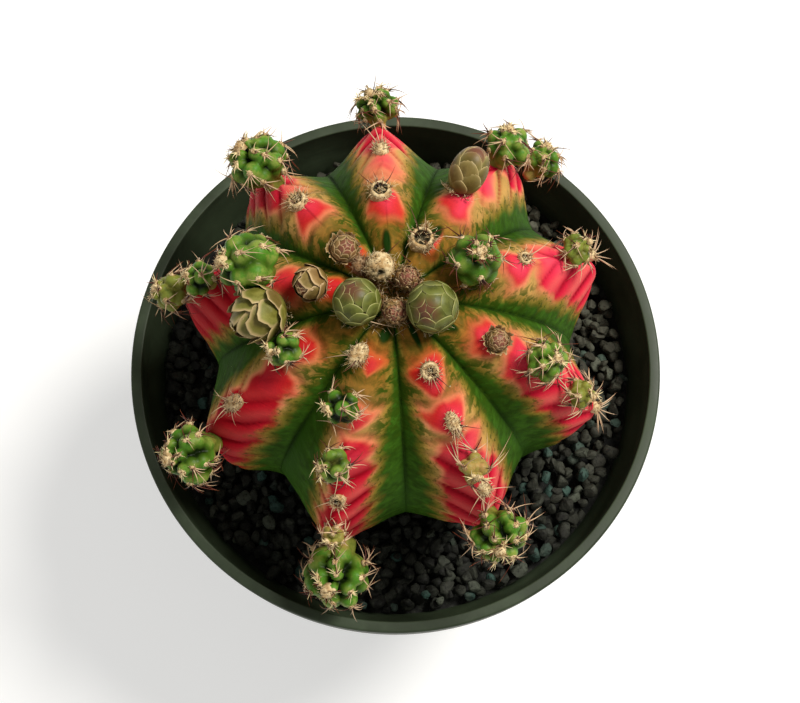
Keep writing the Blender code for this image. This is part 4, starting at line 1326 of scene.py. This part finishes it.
# name: radius in mm, stretch along the rib, hollow, fibres, then spines as rows of (degrees
# round from "away from the crown" towards +azimuth, degrees above the surface, mm, shade, bend)
AREOLE_LOOKS = {
    "areole_rib1_1": (1.5, 1.0, 0.5, 60, (
        (10, 35, 7.0, PALE, 0.15), (-25, 25, 5.0, PALE, 0.2), (30, 20, 4.0, PALE, 0.2),
    )),
    "areole_rib1_2": (1.3, 1.0, 0.0, 60, SEVEN_FAN),
    "areole_rib2_1": (2.7, 1.0, 0.55, 90, (
        (50, 30, 8.0, DARK, 0.05), (10, 50, 5.0, MIXED, 0.2), (-40, 20, 7.0, DARK, -0.1),
        (100, 60, 4.0, DARK, 0.3), (-10, 70, 4.0, DARK, 0.3), (-120, 25, 5.0, MIXED, 0.2),
    )),
    "areole_rib3_1": (2.4, 1.0, 0.6, 70, (
        (50, 12, 6.5, DARK, -0.2), (-45, 15, 6.5, DARK, 0.25), (12, 30, 4.0, DARK, 0.1),
        (20, 60, 2.4, DARK, 0.2), (-20, 60, 2.4, DARK, -0.2),
    )),
    "areole_rib3_2": (1.7, 1.4, 0.0, 120, (
        (-8, 25, 8.0, PALE, 0.02), (10, 25, 8.0, PALE, 0.02), (28, 20, 8.5, PALE, 0.0),
    )),
    "areole_rib4_1": (2.2, 1.0, 0.45, 150, (
        (60, 20, 3.5, PALE, 0.2), (-60, 20, 3.5, PALE, 0.2), (100, 20, 3.0, MIXED, 0.2),
    )),
    "areole_rib6_1": (1.7, 1.5, 0.0, 110, (
        (0, 30, 6.0, PALE, 0.3), (25, 20, 5.0, MIXED, -0.35), (-25, 25, 5.5, PALE, 0.35),
        (60, 25, 4.5, MIXED, 0.4), (-55, 20, 4.5, PALE, -0.4), (95, 30, 4.0, MIXED, 0.4),
        (165, 35, 5.0, MIXED, 0.3), (-80, 25, 4.0, MIXED, 0.4), (-160, 35, 5.0, MIXED, -0.3),
    )),
    "areole_rib7_1": (1.9, 1.35, 0.0, 120, (
        (-60, 10, 7.0, MIXED, 0.1), (15, 35, 4.5, DARK, -0.5), (35, 40, 4.0, DARK, 0.4),
    )),
    "areole_rib7_2": (1.7, 1.0, 0.5, 80, (
        (-80, 20, 4.5, PALE, 0.4), (70, 25, 4.0, PALE, -0.4), (-20, 20, 4.0, PALE, 0.3),
        (20, 20, 5.0, PALE, 0.2),
    )),
    "areole_rib8_1": (2.0, 1.0, 0.32, 110, (
        (-8, 22, 5.0, MIXED, 0.1), (6, 26, 5.5, DARK, 0.05), (22, 20, 5.5, DARK, 0.0),
        (-35, 15, 2.5, PALE, 0.1),
    )),
    "areole_rib8_2": (1.5, 1.9, 0.0, 130, (
        (-28, 20, 7.5, PALE, 0.2), (8, 30, 7.5, MIXED, 0.05), (55, 20, 6.0, DARK, 0.05),
        (-10, 55, 3.0, PALE, 0.1),
    )),
    "areole_rib8_3": (1.5, 1.3, 0.0, 90, (
        (-70, 15, 6.0, PALE, 0.3), (-40, 20, 5.0, PALE, 0.2), (80, 15, 6.0, PALE, -0.2),
    )),
    "areole_rib9_1": (1.4, 1.2, 0.0, 60, TEN_FAN),
}
# All the others, which are lower down
LOW_AREOLE = (0.9, 1.3, 0.0, 40, (
    (-60, 20, 3.0, MIXED, 0.3), (-15, 25, 4.0, PALE, 0.2), (20, 22, 3.6, PALE, -0.2),
    (65, 20, 3.0, MIXED, -0.3),
))
# How brown the wool of some areoles is
AREOLE_SHADES = {"areole_rib6_1": 0.5, "areole_rib8_2": 0.25, "areole_rib9_1": 0.3}
UPPER_LIFT = 0.9 * MM  # of the upper areoles over the ridge
RIM_HAIRS = 14  # that lean over the hollow of an areole
FIRST_AREOLE_SEED = 101


def make_areole(node, growth, trim, seed):
    radius_mm, stretch, hollow, fibres, spines = AREOLE_LOOKS.get(node, LOW_AREOLE)
    radius = radius_mm * MM
    rng = random.Random(seed)
    foot = growth.foot + growth.up * (UPPER_LIFT if node in AREOLE_LOOKS else 0.0)
    seat = tuft_frame(foot, growth.up, growth.along)
    axes = seat.to_3x3()
    wool = wool_shape()
    add_cushion(wool, seat, radius, stretch, 0.6 * radius, rng, fibres, hollow, AREOLE_SHADES.get(node, 0))
    for _ in range(RIM_HAIRS if hollow else 0):
        out = level_way(rng.uniform(0, TAU))
        foot = seat @ (out * 0.6 * radius + UP * 0.3 * radius)
        lean = axes @ (random_unit(rng) * 0.5 - out + UP * 0.2)
        long = radius * rng.uniform(0.5, 1.0)
        add_fibre(wool, foot, lean, long, 0.09 * MM, random_unit(rng) * 0.4, 0.0)
    for around, above, long, shade, bend in spines:
        flat = level_way(math.radians(around))
        way = axes @ polar_way(math.radians(90 - above), math.radians(around))
        foot = seat @ (flat * 0.35 * radius + UP * 0.3 * radius)
        curl = axes @ UP.cross(flat) * bend - growth.up * 0.12
        add_spine(wool, foot, way, long * MM, 0.16 * MM, curl, shade)
    wool.finish(node + "_wool_and_spines", trim, "wool_and_spines", node)


# ---- gravel -------------------------------------------------------------------------------

# name, fineness and spacing of the grains, height of their middles over the nominal top, radius
GRAVEL_LAYERS = (
    ("gravel_upper", 3, 3.5 * MM, -0.6 * MM, 1.65 * MM),
    ("gravel_lower", 2, 3.0 * MM, -2.4 * MM, 1.7 * MM),
)
ROW_PITCH = 0.87  # of a layer's rows, beside the spacing in a row
GRAIN_CUTS = 10
SHARP_EDGE = 50  # degrees
GRAVEL_SEED = 5
BED_DEPTH = 5.5 * MM
BED_GRID = (8, 90)  # rings, points on each
PAINTED_LIGHT_AZIMUTH = 52.0  # degrees: the side of the pot where the gravel is painted paler, as painted light


def sphere_points(fineness):
    """Points and triangles of a geodesic ball of radius 1."""
    data = bmesh.new()
    bmesh.ops.create_icosphere(data, subdivisions=fineness, radius=1)
    points = [v.co.copy() for v in data.verts]
    faces = [tuple(v.index for v in f.verts) for f in data.faces]
    data.free()
    return points, faces


def add_grain(shape, ball, place, size, rng):
    """A crushed stone: a ball stretched at random and cut flat on several sides."""
    points, faces = ball
    cuts = [(random_unit(rng), rng.uniform(0.45, 0.8)) for _ in range(GRAIN_CUTS)]
    stretch = Vector([rng.uniform(0.75, 1.25) for _ in range(3)])
    turn = random_unit(rng).rotation_difference(random_unit(rng)).to_matrix()
    salt = Vector((rng.uniform(0, 99), 0, 0))
    moved = []
    for point in points:
        spot = point.copy()
        for way, far in cuts:
            spot -= way * max(0.0, spot.dot(way) - far) * 0.92
        spot += point * 0.10 * noise.noise(point * 2.5 + salt)
        moved.append(place + turn @ (spot * stretch) * size)
    azimuth = math.degrees(math.atan2(place.y, place.x))
    # Painted light: grains on one side of the pot are painted paler
    dust = 0.42 * bell(azimuth - PAINTED_LIGHT_AZIMUTH, 62.0)
    shape.add(moved, faces, tone=rng.random(), teal=rng.random(), dust=dust)


def stem_radius_at(z, azimuth):
    """Radius of the stem at a height below the equator."""
    degrees = degrees_at(z)
    gaps = (azimuth - RIBS) % 360
    rib = int(np.argmin(gaps))  # the last one before the azimuth
    half = half_angle(rib, 1)
    share = min(gaps[rib], 2 * half - gaps[rib]) / half
    return float(ridge_profile(degrees)[0] - valley_inset(degrees, share))


def add_bed(shape, outer):
    """The bed under the grains, from inside the stem to the pot's wall, in the darkest gravel colour:
    painted shade in the gaps between them.
    """
    rows, columns = BED_GRID
    z = GRAVEL_TOP - BED_DEPTH
    widths = [outer * (0.45 + 0.55 * i / (rows - 1)) for i in range(rows)]
    points = [level_way(TAU * j / columns) * far + UP * z for far in widths for j in range(columns)]
    faces = grid_faces(rows, columns)[: -2 * columns]  # without the fans
    shape.add(points, faces, tone=0.0, teal=0.0, dust=0.0)


def grain_places(layer, outer, rng):
    """Places between the stem and the pot's wall for the grains of a layer, and their radii."""
    spacing, lift, size = layer
    count = int(2 * outer / (spacing * ROW_PITCH)) + 1
    for i in range(count):
        for j in range(count):
            x = -outer + spacing * (j + 0.5 * (i % 2)) + rng.uniform(-0.35, 0.35) * spacing
            y = -outer + spacing * ROW_PITCH * i + rng.uniform(-0.35, 0.35) * spacing
            grain = size * rng.uniform(0.7, 1.2)
            place = Vector((x, y, GRAVEL_TOP + lift + rng.uniform(-0.9, 0.7) * MM))
            if math.hypot(x, y) > outer - grain * 0.8:
                continue
            dx, dy = x - AXIS[0], y - AXIS[1]
            azimuth = math.degrees(math.atan2(dy, dx)) % 360
            if math.hypot(dx, dy) > stem_radius_at(GRAVEL_TOP, azimuth) + grain * 0.5:
                yield place, grain


def make_gravel(finish):
    rng = random.Random(GRAVEL_SEED)
    low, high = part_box("gravel_dressing")
    outer = (high[0] - low[0]) / 2
    for name, fineness, *layer in GRAVEL_LAYERS:
        shape = Shape("tone", "teal", "dust")
        upper = name == "gravel_upper"
        if not upper:
            add_bed(shape, outer)
        ball = sphere_points(fineness)
        for place, grain in grain_places(layer, outer, rng):
            add_grain(shape, ball, place, grain, rng)
        shape.finish(name, finish, "gravel", "gravel_dressing" if upper else None, SHARP_EDGE)


# ---- pot ----------------------------------------------------------------------------------

POT_SEGMENTS = 200
# Sizes in mm
POT_BASE = 43.0  # radius
POT_WALL, POT_FLOOR = 1.3, 2.4
POT_LIP, POT_COLLAR = 2.5, 10.0  # width at the top, height
HOLE_COUNT, HOLE_SIDES = 8, 32
HOLE_RADIUS, HOLE_DEPTH, HOLE_PLACE = 3.5, 12.0, 30.0  # the place is from the middle
CHANNEL_SIZE, CHANNEL_PLACE = (27.0, 4.0, 2.0), 34.5


def arc_points(r, z, radius, start, end, steps):
    """Points on an arc of the pot's outline, from one angle to another in degrees."""
    turns = [math.radians(start + (end - start) * i / steps) for i in range(steps + 1)]
    return [(r + radius * math.cos(turn), z + radius * math.sin(turn)) for turn in turns]


def pot_outline():
    """(radius, z) of the pot in mm, from the middle of its underside round to the inside floor."""
    low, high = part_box("pot")
    rim = (high[0] - low[0]) / 2 / MM
    top = high[2] / MM
    shoulder = top - POT_COLLAR
    slope = (rim - POT_LIP - POT_BASE) / shoulder

    def wall(z):
        return POT_BASE + slope * z

    outline = [(0, 0), (POT_BASE - 3.0, 0)]
    outline += arc_points(POT_BASE - 1.5, 1.5, 1.5, -90, -8, 5)
    outline += [(wall(z), z) for z in (6, 30, 60, shoulder - 1.2)]
    outline += arc_points(wall(shoulder) + 0.8, shoulder - 0.8, 0.8, 170, 95, 3)
    outline += arc_points(rim - 0.9, shoulder + 0.9, 0.9, -80, 0, 5)
    outline += [(rim - 0.05, shoulder + 3), (rim, shoulder + 6)]
    outline += arc_points(rim - 0.6, top - 0.6, 0.6, 0, 90, 8)
    outline += arc_points(rim - POT_LIP + 0.35, top - 0.35, 0.35, 90, 180, 6)
    outline += [(rim - POT_LIP - 0.2, shoulder + 1), (wall(shoulder) - POT_WALL, shoulder - 0.5)]
    outline += [(wall(40) - POT_WALL, 40)]
    outline += arc_points(wall(POT_FLOOR) - POT_WALL - 1.5, POT_FLOOR + 1.5, 1.5, 0, -90, 5)
    return outline + [(0, POT_FLOOR)]


def hole_cutters():
    """A round hole and a channel out from it, for each of the holes in the pot's underside."""
    cutters = []
    for i in range(HOLE_COUNT):
        turn = Matrix.Rotation(TAU * (i + 0.5) / HOLE_COUNT, 4, "Z")
        round_size = {"radius": HOLE_RADIUS * MM, "depth": HOLE_DEPTH * MM}
        bpy.ops.mesh.primitive_cylinder_add(vertices=HOLE_SIDES, **round_size)
        hole = bpy.context.object
        hole.matrix_world = turn @ Matrix.Translation((HOLE_PLACE * MM, 0, 0))
        bpy.ops.mesh.primitive_cube_add(size=1)
        channel = bpy.context.object
        size = Matrix.Diagonal((*(side * MM for side in CHANNEL_SIZE), 1))
        channel.matrix_world = turn @ Matrix.Translation((CHANNEL_PLACE * MM, 0, 0)) @ size
        cutters += [hole, channel]
    return cutters


def make_pot(finish):
    outline = [(r * MM, z * MM) for r, z in pot_outline()]
    ways = [level_way(TAU * i / POT_SEGMENTS) for i in range(POT_SEGMENTS)]
    points = [way * r + UP * z for r, z in outline[1:-1] for way in ways]
    points += [UP * outline[0][1], UP * outline[-1][1]]
    shape = Shape()
    shape.add(points, turned_over(grid_faces(len(outline) - 2, POT_SEGMENTS)))
    pot = shape.finish("nursery_pot", finish, "pot_plastic", "pot", 35)
    cutters = hole_cutters()
    bpy.context.view_layer.update()
    for cutter in cutters:
        cut = pot.modifiers.new(cutter.name, "BOOLEAN")
        cut.operation = "DIFFERENCE"
        cut.object = cutter
    bpy.context.view_layer.update()
    solid = bpy.data.meshes.new_from_object(pot.evaluated_get(bpy.context.evaluated_depsgraph_get()))
    pot.modifiers.clear()
    pot.data = solid
    for cutter in cutters:
        bpy.data.objects.remove(cutter)


# ---- stage --------------------------------------------------------------------------------

FLOOR_SIZE = 40  # metres
SKY_COLOUR, SKY_STRENGTH = (1.0, 0.98, 0.93, 1), 0.32


def make_stage():
    bpy.ops.mesh.primitive_plane_add(size=FLOOR_SIZE)
    floor = bpy.context.object
    floor.name = "floor"
    floor.data.materials.append(floor_material())


def aim(thing, place):
    """Puts a lamp or camera at a place, turned to the target, in the scene."""
    thing.location = place
    thing.rotation_mode = "QUATERNION"
    thing.rotation_quaternion = (TARGET - Vector(place)).to_track_quat("-Z", "Y")
    bpy.context.scene.collection.objects.link(thing)


def add_light(name, place, size, power, colour):
    light = bpy.data.lights.new(name, "AREA")
    light.shape = "DISK"
    light.size = size
    light.energy = power
    light.color = colour
    aim(bpy.data.objects.new(name, light), place)


def make_lights():
    add_light("key", (0.42, 0.24, 0.85), size=0.32, power=10.5, colour=(1.0, 0.97, 0.92))
    add_light("fill", (-0.5, -0.6, 0.8), size=0.8, power=1.2, colour=(1, 1, 1))
    world = bpy.data.worlds.new("soft_white")
    world.use_nodes = True
    sky = world.node_tree.nodes["Background"]
    sky.inputs["Color"].default_value = SKY_COLOUR
    sky.inputs["Strength"].default_value = SKY_STRENGTH
    bpy.context.scene.world = world


def make_camera():
    tilt = math.radians(CAMERA_ELEVATION)
    lens = bpy.data.cameras.new("camera")
    lens.lens = LENS
    lens.sensor_width = 36
    lens.clip_start = 0.01
    camera = bpy.data.objects.new("camera", lens)
    aim(camera, TARGET + Vector((0, -math.cos(tilt), math.sin(tilt))) * CAMERA_DISTANCE)
    bpy.context.scene.camera = camera


def main():
    make_camera()
    make_lights()
    make_stage()
    growths = find_growths()
    make_stem(growths, skin_material())
    trim = trim_material()
    flesh = offset_material()
    scales = bud_material()
    for seed, node in enumerate(OFFSET_NODES, 1):
        make_offset(node, growths[node], flesh, trim, seed)
    for seed, node in enumerate(BUD_NODES, 1):
        if node == WOOLLY_BUD:
            make_woolly_bud(node, growths[node], trim)
        else:
            make_bud(node, growths[node], scales, trim, seed)
    for seed, node in enumerate(AREOLE_NODES, FIRST_AREOLE_SEED):
        make_areole(node, growths[node], trim, seed)
    make_crown_wool(trim)
    make_gravel(gravel_material())
    make_pot(pot_material())
    for node, finish in (("potting_mix", mix_material()), ("roots", root_material())):
        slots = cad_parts[node].data.materials
        slots.clear()
        slots.append(finish)
    bpy.context.scene.view_settings.view_transform = "Standard"


main()
